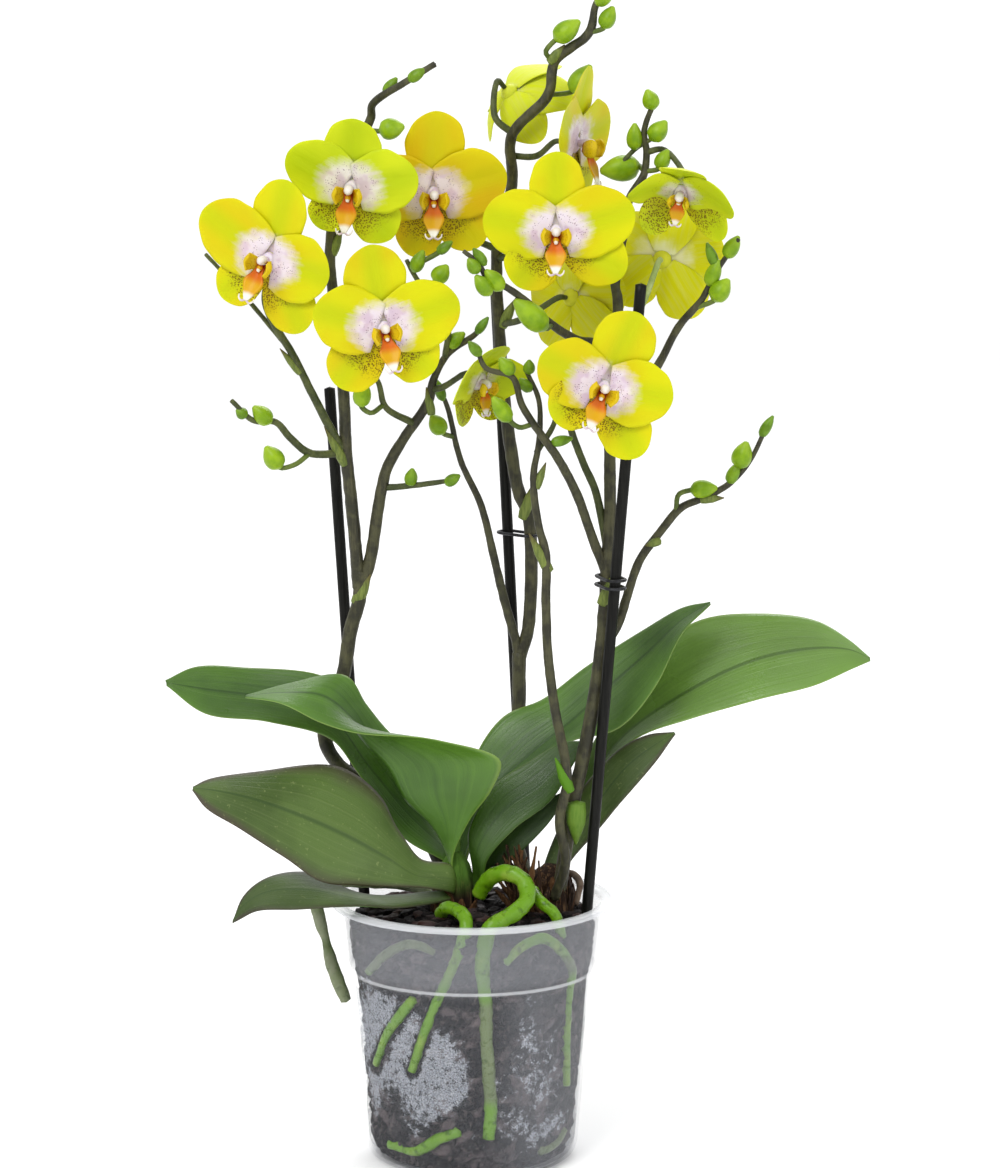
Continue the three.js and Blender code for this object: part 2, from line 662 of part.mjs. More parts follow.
const spikeLeft = [
  // main stem, then its left fork up to the tip
  tube(
    [[-12, 6, 122], [-22, 13, 140], [-42, 15, 156], [-57, 17, 166], [-63, 20, 177], [-61, 21, 189],
      [-55, 20, 204], [-52, 20, 222], [-48, 20, 237], [-47, 20, 249]],
    [STEM_RADIUS, STEM_RADIUS, STEM_RADIUS],
  ),
  tube(
    [[-48, 20, 242], [-51, 20, 279], [-53, 19, 299], [-54, 16, 327], [-57, 14, 357], [-59, 13, 390],
      [-53, 16, 416], [-42, 17, 441], [-41, 14, 447], [-28, 8, 456], [-15, 6, 464]],
    [2.8, 2.5, 2.2, 1.8, 1.3],
  ),
  // right fork
  tube(
    [[-48, 20, 242], [-44, 20, 251], [-39, 19, 280], [-36, 18, 293], [-29, 15, 306], [-18, 11, 323],
      [-16, 10, 332], [-10, 9, 343], [2, 6, 352], [5, 5, 357]],
    [2.8, 2.5, 2.1, 1.5, 1],
  ),
  // flower stalks
  tube(
    [[-54, 19, 300], [-62, 12, 316], [-74, 4, 342], [-86, 2, 366], ...stalkEnd('bloom_1', 4)],
    [1.9, 1.6, PEDICEL_RADIUS],
  ),
  stalk([[-53, 16, 420]], 'bloom_2', 5),
  stalk([[-55, 15, 340], [-50, 2, 348]], 'bloom_3', 10),
  stalk([[-16, 10, 328], [-12, 9, 329]], 'bloom_12', 4),
  // side twigs
  tube([[-53, 20, 300], [-68, 10, 301], [-76, 6, 308], [-82, 3, 315], [-91, 0, 316], [-100, -4, 325]],
    [1.8, 1.5, 1]),
  tube([[-37, 19, 285], [-22, 14, 287], [-7, 8, 290]], [1.5, 1]),
  tube([[-24, 13, 313], [-36, 6, 321], [-39, 2, 332], [-46, -2, 343]], [1.6, 0.9], TWIG_SIDES),
  tube([[-11, 9, 342], [-10, 5, 354], [-17, 4, 366], [-24, 4, 377], [-27, 3, 383]], [1.5, 0.9], TWIG_SIDES),
  tube([[-77, 3, 347], [-97, 8, 370], [-111, 8, 385]], [1.1, 0.8], TWIG_SIDES),
  // buds
  ...bud([-36, 13, 451], [-31, 12, 458], 5),
  ...bud([-26, 7, 457], [-19, 6, 462], 5),
  ...bud([-38, 10, 436], [-28, 8, 438], 9, [[-43, 17, 436]]),
  ...bud([-80, 1, 296], [-86, 0, 305], 8.5, [[-68, 10, 301], [-74, 4, 297]]),
  ...bud([-84, 1, 315], [-91, -1, 322], 7.5),
  ...bud([-94, -1, 318], [-98, -3, 321], 5),
  ...bud([-26, 15.3, 286.5], [-25, 13, 294], 5.5),
  ...bud([-11, 9, 288], [-5, 7, 292], 5),
  ...bud([-46, 0, 322], [-45, -2, 333], 7.5, [[-37, 5, 322], [-42, 2, 319]]),
  ...bud([-45, -2, 340], [-47, -3, 348], 6),
  ...bud([-10, 9, 346], [-3, 8, 352], 6.5),
  ...bud([-24, 3, 378], [-20, 2, 387], 6),
  ...bud([-15, 1, 374], [-10, 0, 381], 7.5, [[-22, 4, 373]]),
  ...bud([-14, 1, 386], [-8, 0, 391], 4.5, [[-25, 3, 380]]),
  ...bud([2, 5, 352], [7, 4, 359], 4),
  // scales at the nodes
  scale([-49, 20, 236], [-43, 18, 248], 6.5),
  scale([-54, 18, 296], [-62, 13, 312], 5),
  scale([-72, 5, 336], [-80, 3, 346], 4),
  scale([-58, 13, 385], [-54, 11, 396], 5),
  scale([-17, 11, 318], [-19, 9, 329], 4.5),
];

const spikeMiddle = [
  tube([[25, 9, 113], [19, 21, 130], [15, 31, 150], [18, 34, 170], [20, 35, 188], [20, 36, 211]],
    [STEM_RADIUS, STEM_RADIUS]),
  tube(
    [[20, 36, 207], [19, 36, 215], [14, 36, 233], [9, 35, 254], [4, 33, 275], [-5, 28, 296],
      [-10, 22, 318], [-13, 20, 326]],
    [2.2, 1.9, 1.4, 0.9],
  ),
  tube(
    [[20, 36, 208], [24, 37, 222], [24, 38, 271], [20, 39, 280], [15, 40, 310], [12, 40, 342],
      [11, 40, 388], [17, 37, 412], [17, 31, 433], [32, 27, 450], [35, 28, 464], [49, 24, 476],
      [52, 23, 488], [60, 18, 501]],
    [2.8, 2.8, 2.6, 2.3, 2.1, 1.2],
  ),
  stalk([[17, 31, 434], [10, 32, 440]], 'bloom_7', 5),
  stalk([[16, 37, 424], [27, 33, 424]], 'bloom_8', 5),
  stalk([[11, 40, 384], [0, 33, 390]], 'bloom_4', 5),
  stalk([[11, 40, 380], [24, 24, 386]], 'bloom_5', 8),
  stalk([[12, 40, 352], [22, 27, 356]], 'bloom_11', 5),
  ...bud([42, 33, 451], [50, 33, 462], 8.5, [[32, 28, 450]]),
  ...bud([35, 25, 473], [45, 23, 481], 9, [[34, 28, 464], [31, 26, 468]]),
  ...bud([55, 22, 478], [59, 21, 487], 7, [[49, 24, 476]]),
  ...bud([52, 22, 488], [59, 19, 494], 6.5),
  ...bud([58, 18, 498], [63, 17, 506], 5.5),
  ...bud([-12, 20, 308], [-17, 18, 316], 7.5, [[-8, 25, 306]]),
  ...bud([-12, 20, 322], [-15, 19, 331], 4.5),
  scale([22, 37, 270], [26, 36, 284], 6),
  scale([13, 39, 352], [19, 37, 364], 5.5),
  scale([33, 27, 464], [39, 26, 471], 5),
];

const spikeThin = [
  tube(
    [[35, -6, 113], [39.5, -12, 131], [37, -13, 148], [40, -15, 165], [39, -17, 176], [35, -18, 196],
      [32, -20, 219], [31, -20, 243], [31, -18, 262], [28, -16, 274], [26, -14, 288], [26, -13, 297],
      [28, -12, 308], [28, -12, 326], [23, -12, 338]],
    [2.2, 2.1, 2, 1.8, 1.4, 0.9],
  ),
  tube([[27, -12, 304], [35, -10, 318], [34, -10, 330]], [1.3, 0.9], TWIG_SIDES),
  ...bud([25, -12, 330], [20, -12, 335], 5),
  ...bud([24, -12, 337], [24, -13, 343], 5),
  ...bud([34, -10, 326], [35, -11, 335], 5),
  scale([41, -15, 162], [35, -18, 176], 5.5),
  scale([32, -18, 256], [24, -18, 271], 5.5),
  scale([27, -13, 290], [31, -12, 300], 4.5),
];

const spikeRight = [
  tube(
    [[37, 0, 114], [42, -7, 150], [46, -8, 170], [50, -7.5, 190], [54, -6, 216], [56, -5, 240],
      [57, -3, 258], [58, -2, 278], [58, 0, 310], [61, 3, 341], [61, 5, 366], [60, 6, 373],
      [64, 8, 397], [66, 11, 408], [72, 14, 418], [73, 15, 427], [72, 14, 436], [76, 13, 448]],
    [STEM_RADIUS, STEM_RADIUS, 2.8, 2.4, 2, 1.6, 1.1],
  ),
  tube(
    [[56, -3, 253], [51, -5, 266], [44, -9, 286], [35, -18, 304], [28, -20, 314], [21, -21, 325],
      [17, -23, 337], [6, -24, 341], [2, -24, 350]],
    [2.1, 1.9, 1.4, 0.9],
  ),
  tube(
    [[57, -2, 261], [52, 0, 286], [46, 0, 300], [41, -2, 316], [44, -10, 329],
      ...stalkEnd('bloom_6', 4)],
    [1.8, 1.5, PEDICEL_RADIUS],
  ),
  tube(
    [[54, -6, 218], [62, 0, 231], [66, 4, 243], [71, 8, 256], [79, 9, 267], [88, 8, 278], [96, 6, 282],
      [107, 4, 288], [116, 2, 298], [124, 0, 315]],
    [2.2, 1.9, 1.8, 1.4, 0.9],
  ),
  tube(
    [[58, 0, 310], [69, 8, 325], [78, 9, 338], [87, 9, 355], [96, 6, 366], [102, 4, 378], [111, 0, 392]],
    [2.1, 1.8, 1.5, 0.9],
  ),
  stalk([[73, 15, 427], [80, 16, 428]], 'bloom_9', 5),
  stalk([[61, 3, 352], [70, 4, 362]], 'bloom_10', 5),
  tube([[61, 14, 420], [68, 15, 428], [76, 14, 433]], [1.1, 0.9], TWIG_SIDES),
  ...bud([70, 20, 421], [54, 16, 419], 11, [[72, 14, 419]]),
  ...bud([68, 15, 428], [68, 13, 439], 6.5),
  ...bud([75, 13, 432], [81, 12, 440], 8),
  ...bud([78, 14, 420], [82, 14, 428], 6.5, [[72, 14, 419]]),
  ...bud([76, 13, 445], [73, 12, 453], 7),
  ...bud([33, -19, 309], [42, -18, 311], 4.5),
  ...bud([17, -22, 338], [12, -24, 345], 6.5),
  ...bud([16, -24, 319], [9, -26, 329], 7, [[25, -20, 317], [20, -22, 316]]),
  ...bud([4, -24, 346], [-1, -25, 352], 4.5),
  ...bud([92, 5, 286], [103, 4, 287], 7.5, [[86, 8, 277], [87, 6, 284]]),
  ...bud([108, 4, 289], [112, 2, 298], 5.5),
  ...bud([112, 2, 296], [115, 0, 307], 8.5),
  ...bud([121, 1, 309], [126, 0, 318], 4.5),
  ...bud([99, 5, 372], [103, 3, 383], 6.5),
  ...bud([101, 3, 366], [107, 2, 375], 8.5, [[92, 8, 362]]),
  ...bud([106, 3, 384], [111, 1, 393], 6.5),
  ...bud([102, 4, 380], [98, 4, 390], 4.5),
  scale([44, -10, 154], [44, -9, 137], 10),
  scale([55, -6, 240], [61, -8, 254], 6.5),
  scale([79, 8, 264], [73, 7, 262], 4.5),
  scale([97, 5.5, 282], [106, 3, 283], 4.5),
];

const sprayFront = [
  tube(
    [[63, 4, 337], [52, 2, 348], [45, -4, 350], [37, -12, 355], [30, -18, 361], [22, -23, 369],
      [12, -28, 376], [7, -30, 378], [3, -32, 385], [-3, -34, 390]],
    [2, 1.8, 1.4, 0.9],
  ),
  ...bud([31, -22, 357], [18, -26, 369], 10, [[33, -16, 358]]),
  ...bud([13, -30, 374], [6, -32, 382], 7),
  ...bud([8, -32, 372], [2, -34, 380], 6.5),
  ...bud([3, -33, 381], [-1, -34, 387], 5.5),
  ...bud([6, -31, 384], [1, -33, 391], 4.5),
];

const carvedSpikes = {
  spike_left: spikeLeft,
  spike_middle: spikeMiddle,
  spike_thin: spikeThin,
  spike_right: [...spikeRight, ...sprayFront],
};
for (const [name, pieces] of Object.entries(carvedSpikes)) {
  place(name, carve(fuse(pieces), crownRooms), STEM_OLIVE);
}

// ---------------------------------------------------------------- stakes and clips

// Each stake is straight, from its foot in the mix to its top.
const STAKES = {
  stake_left: [[-41.7, 10.5, 40], [-61, 44, 326]],
  stake_middle: [[25.6, 37, 58], [10, 50, 366]],
  stake_right: [[43.4, -1.6, 40], [70, -22, 377]],
};

const stake = (ends, grow) =>
  loft(
    ends.map((centre, index) =>
      circle(0, STAKE_RADIUS + grow, 8).map(
        (p) => new THREE.Vector3(centre[0] + p.x, centre[1] + p.z, centre[2] - (index ? 0 : grow)),
      ),
    ),
  );
for (const [name, points] of Object.entries(STAKES)) {
  place(name, stake(points, 0), STAKE_BLACK);
}

// A wire ring around a stake and the stem beside it, a stadium seen from above.
const CLIPS = {
  clip_middle: { from: [15.3, 45.6, 262], to: [24.2, 38, 262], reach: 4.2 },
  clip_right_upper: { from: [56.4, -4, 251], to: [60, -14.4, 251], reach: 4.2 },
  clip_right_lower: { from: [56.2, -4.3, 247.5], to: [59.8, -14.2, 247.5], reach: 4.2 },
};
const CLIP_BENDS = 5;

function clip({ from, to, reach }) {
  const start = point(from);
  const end = point(to);
  const heading = Math.atan2(end.y - start.y, end.x - start.x);
  const path = [];
  for (const [centre, first] of [[end, heading - Math.PI / 2], [start, heading + Math.PI / 2]]) {
    for (let bend = 0; bend <= CLIP_BENDS; bend += 1) {
      const angle = first + (Math.PI * bend) / CLIP_BENDS;
      path.push({ centre, out: new THREE.Vector3(Math.cos(angle), Math.sin(angle), 0) });
    }
  }
  const sides = 5;
  const points = [];
  for (const { centre, out } of path) {
    for (let side = 0; side < sides; side += 1) {
      const angle = (2 * Math.PI * side) / sides;
      const away = reach + CLIP_WIRE_RADIUS * Math.cos(angle);
      const ringPoint = centre.clone().addScaledVector(out, away);
      ringPoint.z += CLIP_WIRE_RADIUS * Math.sin(angle);
      points.push(ringPoint);
    }
  }
  const triangles = [];
  for (let step = 0; step < path.length; step += 1) {
    const next = (step + 1) % path.length;
    for (let side = 0; side < sides; side += 1) {
      const turn = (side + 1) % sides;
      const a = step * sides + side;
      const b = step * sides + turn;
      const c = next * sides + turn;
      const d = next * sides + side;
      triangles.push([a, d, c], [a, c, b]);
    }
  }
  return solid(points, triangles);
}
for (const [name, shape] of Object.entries(CLIPS)) {
  place(name, clip(shape), STAKE_BLACK);
}

// ---------------------------------------------------------------- roots

const ROOTS = {
  root_loop: {
    path: [[3, -12, 116], [6, -15, 122], [10.5, -20, 126.5], [16, -25, 128], [22, -29, 125.5],
      [23, -35, 119.5], [17, -42, 114.5], [8, -47.5, 110], [5, -49.2, 100], [5, -47.6, 86], [6, -45.2, 76], [6, -44.6, 66],
      [7, -43, 46], [8, -41.6, 30], [7, -40.8, 18]],
    radii: [3.4, 3.5, 3.4, 3, 2.8],
    look: ROOT_GREEN,
  },
  root_front_left: {
    path: [[-13, -18, 109], [-10, -28, 114], [-4, -38, 114], [-2, -44, 110], [-5, -48.5, 101],
      [-10, -47.5, 88], [-15, -43.5, 76], [-20, -40.5, 62], [-25, -36.5, 46]],
    radii: [2.8, 2.8, 2.4, 2],
    look: ROOT_GREEN,
  },
  root_diagonal: {
    path: [[-24, -40.3, 78], [-29, -36.4, 71], [-36, -27.6, 58], [-40.4, -19, 44]],
    radii: [2.2, 2.4, 1.6],
    look: ROOT_GREEN,
  },
  root_arch_left: {
    path: [[-43, -25.5, 86], [-35.5, -36, 96], [-25.5, -43.2, 102], [-15, -47.6, 100]],
    radii: [2, 2.2, 1.8],
    look: ROOT_GREEN,
  },
  root_right: {
    path: [[14, -47.5, 95], [20, -46.5, 101], [29.5, -41.2, 104], [36.8, -34.8, 98], [41.8, -26.6, 87],
      [40.6, -23.6, 77], [39.8, -22.4, 59], [39.8, -19, 35]],
    radii: [2, 2.3, 2.3, 1.8],
    look: ROOT_GREEN,
  },
  root_bottom_left: {
    path: [[-34.5, -22.5, 10], [-22, -34.4, 11], [-14, -38.8, 17], [-5, -41.4, 21]],
    radii: [2.2, 2.6, 2.2],
    look: ROOT_GREEN,
  },
  root_bottom_right: {
    path: [[28.5, -29.6, 9], [34.1, -23.2, 10], [39, -14.4, 14]],
    radii: [2, 2.2, 1.8],
    look: ROOT_GREEN,
  },
  root_surface_right: {
    path: [[27, -9, 114], [26, -20, 119], [29, -30, 117], [35, -33, 112], [38, -30, 100]],
    radii: [2.8, 2.6, 2.2],
    look: ROOT_GREEN,
  },
  root_dry: {
    path: [[44, 4, 108], [46, 12, 115], [43, 22, 117], [36, 31, 114], [32, 36, 104]],
    radii: [1.4, 1.6, 1.3],
    look: ROOT_DRY,
  },
  root_aerial: {
    path: [[-17, 4, 110], [-24, 8, 115], [-44, 8, 117], [-58, 5, 117.5], [-66, 1, 112], [-65, -2, 104],
      [-62, -4, 94], [-59.5, -6, 84], [-55.5, -8, 74], [-53.5, -9, 69]],
    radii: [2.6, 2.9, 2.9, 2.8, 2.2],
    look: ROOT_GREY,
  },
};
const ROOT_SIDES = 6;

const root = ({ path, radii }, grow) =>
  tube(path, radii.map((radius) => radius + grow), ROOT_SIDES);
for (const [name, shape] of Object.entries(ROOTS)) {
  place(name, carve(root(shape, 0), crownRooms), shape.look);
}

// ---------------------------------------------------------------- potting mix

// Ups and downs of the mix's surface, the same in every build.
const bump = (x, y) =>
  Math.sin(x * 0.31 + 1.3) * Math.cos(y * 0.27 + 0.4) + 0.5 * Math.sin(x * 0.7 - y * 0.5);

function mixBody() {
  const room = WALL + MIX_SIDE_GAP;
  const sides = outerProfile(room, BASE_THICKNESS + CLEARANCE).slice(1);
  const rings = [
    ...sides,
    [TOP_RADIUS - room - 1.2, MIX_TOP - 8],
    [TOP_RADIUS - room - 1, MIX_TOP - 1],
    [40, MIX_TOP],
    [24, MIX_TOP + 2],
    [8, MIX_TOP + 3],
  ];
  return loft(
    rings.map(([radius, height], level) =>
      Array.from({ length: MIX_SEGMENTS }, (_, side) => {
        const angle = (2 * Math.PI * side) / MIX_SEGMENTS;
        const x = radius * Math.cos(angle);
        const y = radius * Math.sin(angle);
        const lift = level > sides.length + 1 ? MIX_BUMP * bump(x, y) : 0;
        return new THREE.Vector3(x, y, height + lift);
      }),
    ),
  );
}

const standing = [
  ...crownRooms,
  ...Object.values(STAKES).map((points) => stake(points, CLEARANCE)),
  ...Object.values(ROOTS).map((shape) => root(shape, CLEARANCE)),
];
place('potting_mix', carve(mixBody(), standing), BARK);

export default part;
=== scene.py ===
# A multiflora moth orchid in a clear plastic pot. The pot is dressed first, then what fills it, then
# the plant from its roots and leaves up to its stems and blooms, and last the stakes, the clips and
# the light. Lists of places are in millimetres in the row frame, +Z up, and meshes are in metres.
import math
import random

import bmesh
import bpy
import numpy as np
from mathutils import Matrix, Vector, noise


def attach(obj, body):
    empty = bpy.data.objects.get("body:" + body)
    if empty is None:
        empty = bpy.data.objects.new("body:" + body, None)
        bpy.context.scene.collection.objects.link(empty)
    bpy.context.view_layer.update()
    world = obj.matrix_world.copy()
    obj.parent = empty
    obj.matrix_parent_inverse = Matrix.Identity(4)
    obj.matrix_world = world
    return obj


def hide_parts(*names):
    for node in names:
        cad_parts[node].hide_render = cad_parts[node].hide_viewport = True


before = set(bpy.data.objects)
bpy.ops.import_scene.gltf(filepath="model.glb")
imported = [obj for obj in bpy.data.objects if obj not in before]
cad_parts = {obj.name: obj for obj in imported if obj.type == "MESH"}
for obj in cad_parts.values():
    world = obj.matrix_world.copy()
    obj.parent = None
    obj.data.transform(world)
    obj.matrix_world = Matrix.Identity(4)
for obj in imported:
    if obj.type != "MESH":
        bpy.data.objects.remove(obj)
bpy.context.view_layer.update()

# ---- pot
# One thin clear moulding in slightly milky plastic: tapered wall, a step under the upper band, a flat
# rim lip and drain holes. Dried water and root dust have left a white film on its inner side.
MM = 0.001


class Skin:
    """Corners, faces and named corner values of a piece while it is put together."""

    def __init__(self):
        self.corners = []
        self.faces = []
        self.looks = []
        self.values = {}
        self.count = 0

    def add(self, corners, faces, look=0, **values):
        corners = np.asarray(corners, float).reshape(-1, 3)
        for name in dict.fromkeys([*self.values, *values]):
            self.values.setdefault(name, [np.zeros(self.count)])
            given = values.get(name, 0.0)
            self.values[name].append(np.broadcast_to(np.ravel(given), len(corners)))
        self.corners.append(corners)
        self.faces += [tuple(corner + self.count for corner in face) for face in faces]
        self.looks += [look] * len(faces)
        self.count += len(corners)

    def piece(self, name, *materials):
        mesh = bpy.data.meshes.new(name)
        mesh.from_pydata((np.vstack(self.corners) * MM).tolist(), [], self.faces)
        for value_name, parts in self.values.items():
            layer = mesh.attributes.new(value_name, "FLOAT", "POINT")
            layer.data.foreach_set("value", np.concatenate(parts).astype(np.float32))
        for material in materials:
            mesh.materials.append(material)
        mesh.polygons.foreach_set("material_index", self.looks)
        mesh.polygons.foreach_set("use_smooth", [True] * len(mesh.polygons))
        tidy = bmesh.new()
        tidy.from_mesh(mesh)
        bmesh.ops.recalc_face_normals(tidy, faces=tidy.faces)
        tidy.to_mesh(mesh)
        tidy.free()
        mesh.update()
        made = bpy.data.objects.new(name, mesh)
        bpy.context.scene.collection.objects.link(made)
        return made


def grid_faces(rows, columns, around=False):
    faces = []
    for row in range(rows - 1):
        for column in range(columns if around else columns - 1):
            after = (column + 1) % columns
            below, above = row * columns, (row + 1) * columns
            faces.append((below + column, below + after, above + after, above + column))
    return faces


def colour(code):
    """Linear colour from a six-digit colour code."""
    parts = [int(code[i : i + 2], 16) / 255 for i in (0, 2, 4)]
    linear = [p / 12.92 if p <= 0.04045 else ((p + 0.055) / 1.055) ** 2.4 for p in parts]
    return (*linear, 1.0)


class Look:
    """A material made of shader nodes, wired by short calls."""

    def __init__(self, name, **sockets):
        self.material = bpy.data.materials.new(name)
        self.material.use_nodes = True
        self.nodes = self.material.node_tree.nodes
        self.links = self.material.node_tree.links
        self.shader = self.nodes["Principled BSDF"]
        for socket, value in sockets.items():
            self.shader.inputs[socket.replace("_", " ")].default_value = value

    def wire(self, value, socket):
        if isinstance(value, bpy.types.NodeSocket):
            self.links.new(value, socket)
        elif socket.type == "RGBA" and isinstance(value, str):
            socket.default_value = colour(value)
        else:
            socket.default_value = value

    def node(self, kind, output, inputs, **settings):
        made = self.nodes.new("ShaderNode" + kind)
        for setting, value in settings.items():
            setattr(made, setting, value)
        for socket, value in inputs.items():
            self.wire(value, made.inputs[socket])
        return made.outputs[output]

    def place(self, squeeze=None):
        place = self.node("TexCoord", "Object", {})
        return self.node("Mapping", "Vector", {"Vector": place, "Scale": squeeze}) if squeeze else place

    def value(self, name):
        return self.node("Attribute", "Fac", {}, attribute_name=name)

    def height(self, axis="Z"):
        return self.node("SeparateXYZ", axis, {"Vector": self.place()})

    def vector(self, x, y, z):
        return self.node("CombineXYZ", "Vector", {"X": x, "Y": y, "Z": z})

    def maths(self, operation, first, second=0.0):
        return self.node("Math", "Value", {0: first, 1: second}, operation=operation)

    def times(self, first, second):
        return self.maths("MULTIPLY", first, second)

    def plus(self, first, second):
        return self.maths("ADD", first, second)

    def fade(self, value, start, end, low=0.0, high=1.0):
        """`low` at `start` and `high` at `end`, smooth between them."""
        inputs = dict(enumerate((value, start, end, low, high)))
        return self.node("MapRange", "Result", inputs, interpolation_type="SMOOTHSTEP")

    def noise(self, per_metre, detail=3.0, roughness=0.5, vector=None):
        place = self.place() if vector is None else vector
        inputs = {"Vector": place, "Scale": per_metre, "Detail": detail, "Roughness": roughness}
        return self.node("TexNoise", "Fac", inputs)

    def cells(self, per_metre):
        return self.node("TexVoronoi", "Distance", {"Vector": self.place(), "Scale": per_metre})

    def mix(self, share, first, second):
        return self.node("Mix", 2, {0: share, 6: first, 7: second}, data_type="RGBA")

    def coats(self, base, *coats):
        """The base colour under coats, each given as value, start, end, greatest share and colour."""
        for value, start, end, most, tint in coats:
            base = self.mix(self.fade(value, start, end, 0, most), base, tint)
        return base

    def paint(self, value, socket="Base Color"):
        self.wire(value, self.shader.inputs[socket])

    def bump(self, height, distance, strength):
        inputs = {"Strength": strength, "Distance": distance, "Height": height}
        self.paint(self.node("Bump", "Normal", inputs), "Normal")


POT_OUTSIDE = [
    (20, 0), (38, 0), (39.6, 0.05), (41.3, 0.55), (43, 1.75), (44.2, 3.4), (45, 6),
    (51.15, 78.6), (51.4, 79.3), (53.0, 82.7), (53.25, 83.6), (55.9, 109.4), (56.3, 109.8), (59.4, 109.8),
    (59.85, 110.2), (60, 110.9), (59.85, 111.6), (59.4, 112), (55.4, 112), (54.9, 111.6), (54.75, 110.8),
]
POT_INSIDE = [
    (52.0, 83.6), (51.8, 82.9), (50.2, 79.5), (49.95, 78.6), (43.8, 6.4), (43.1, 4.3), (42, 2.8),
    (40.4, 1.9), (38.4, 1.6), (20, 1.6),
]
POT_SIDES = 144
DRAIN_HOLES = 6
DRAIN_HOLE_RADIUS = 4
DRAIN_CIRCLE_RADIUS = 27
HOLE_SIDES = 24
PROFILE_STEP = 2.0
# Patches of film on the front: across, height, half width, half height and how thick it lies.
FILM_PATCHES = (
    (-30, 52, 21, 28, 1.0), (-14, 46, 14, 27, 1.0), (-42, 62, 10, 20, 0.8), (-18, 32, 16, 12, 0.8),
    (23, 60, 15, 12, 0.5), (28, 42, 14, 14, 0.52), (18, 26, 14, 10, 0.46), (34, 20, 12, 13, 0.6),
    (24, 76, 12, 6, 0.36), (14, 50, 8, 26, 0.42), (0, 20, 14, 8, 0.3),
)
# Where a root presses on the wall there is no film: across and height, point by point.
ROOT_TRACKS = (
    ((-2, 110), (-5, 101), (-10, 88), (-15, 76), (-20, 62), (-25, 46)),
    ((-24, 78), (-29, 71), (-36, 58), (-41, 44)), ((5, 100), (6, 66), (7, 18)),
    ((37, 98), (42, 87), (40, 59), (40, 35)), ((-35, 10), (-22, 11), (-14, 17), (-5, 21)),
    ((28, 9), (39, 14)),
)
TRACK_WIDTH = 3.4
TRACK_EDGE = 1.8
FILM_TOP_BEHIND = 76
FILM_DRIFT = 11
DRIFT_SHIFTS = ((0, 0, 0), (31.4, 7.7, 2.3), (5.9, 47.1, 13.6))


def finer(profile, longest):
    """The profile with more points where two of them lie further apart than `longest`."""
    points = [profile[0]]
    for (radius, height), (next_radius, next_height) in zip(profile, profile[1:]):
        parts = math.ceil(math.dist((radius, height), (next_radius, next_height)) / longest)
        for part in range(1, parts + 1):
            share = part / parts
            points.append((radius + (next_radius - radius) * share, height + (next_height - height) * share))
    return points


def turned(profile, sides):
    angles = np.arange(sides) * 2 * math.pi / sides
    return np.array([[(r * math.cos(a), r * math.sin(a), z) for a in angles] for r, z in profile])


pot_profile = finer(POT_OUTSIDE + POT_INSIDE, PROFILE_STEP)
inside_from = len(finer(POT_OUTSIDE, PROFILE_STEP))
pot_skin = Skin()
pot_faces = grid_faces(len(pot_profile), POT_SIDES, around=True)
pot_count = len(pot_profile) * POT_SIDES
pot_middles = [(0, 0, 0), (0, 0, 1.6)]
for side in range(POT_SIDES):
    after = (side + 1) % POT_SIDES
    pot_faces.append((side, after, pot_count))
    pot_faces.append((pot_count - POT_SIDES + side, pot_count - POT_SIDES + after, pot_count + 1))
pot_corners = np.vstack([turned(pot_profile, POT_SIDES).reshape(-1, 3), pot_middles])
inner_side = (np.arange(len(pot_corners)) >= inside_from * POT_SIDES).astype(float)
inner_side[-2] = 0.0


def drifting(place):
    """A smooth drift about a place, the same in each run."""
    return Vector([noise.noise(place + Vector(shift)) for shift in DRIFT_SHIFTS])


def film_at(corner):
    """How thick the film lies at a place on the wall, from 0 to 1."""
    drift = drifting(Vector(corner) * 0.055) * FILM_DRIFT
    x, z = corner[0] + drift.x, corner[2] + drift.z
    if corner[1] > 0:
        thick = 0.5 + 1.6 * noise.noise(Vector(corner) * 0.05)
        return max(0.0, min(1.0, thick)) * (corner[2] < FILM_TOP_BEHIND)
    thick = max(
        share * (1.35 - ((x - across) / wide) ** 2 - ((z - up) / high) ** 2)
        for across, up, wide, high, share in FILM_PATCHES
    )
    place = np.array((corner[0], corner[2]))
    clear = math.inf
    for track in ROOT_TRACKS:
        for start, end in zip(track, track[1:]):
            run = np.subtract(end, start)
            share = min(1.0, max(0.0, np.dot(place - start, run) / np.dot(run, run)))
            clear = min(clear, np.linalg.norm(place - start - run * share))
    return max(0.0, min(1.0, thick)) * min(1.0, max(0.0, (clear - TRACK_WIDTH / 2) / TRACK_EDGE))


film_thickness = [film_at(corner) if inner else 0.0 for corner, inner in zip(pot_corners, inner_side)]
pot_skin.add(pot_corners, pot_faces, film=film_thickness)

plastic = Look("clear_plastic", Roughness=0.14, IOR=1.49)
height = plastic.height()
grains = plastic.times(plastic.noise(2000, 5, 0.7), 0.5)
clumps = plastic.times(plastic.noise(330, 3, 0.6), 0.5)
film_height = plastic.plus(plastic.plus(grains, clumps), plastic.times(plastic.value("film"), 0.27))
pinholes = plastic.fade(plastic.noise(1500, 3), 0.36, 0.42)
film = plastic.times(plastic.fade(film_height, 0.655, 0.73), pinholes)
film = plastic.times(film, plastic.fade(plastic.value("film"), 0.04, 0.2))
haze = plastic.times(plastic.noise(26, 2), 0.04)
rim_white = plastic.fade(height, 0.1088, 0.1099)
# A whiter, more opaque line along the step under the upper band: a painted highlight on the bend.
step_highlight = plastic.fade(plastic.maths("ABSOLUTE", plastic.plus(height, -0.0825)), 0.0011, 0.0003)
foot_white = plastic.fade(height, 0.005, 0.001)
mist = plastic.fade(height, 0.078, 0.088, 0, 0.16)
# The wall is hazier towards its right side.
right_side_haze = plastic.fade(plastic.height("X"), 0.004, 0.03, 0, 0.1)
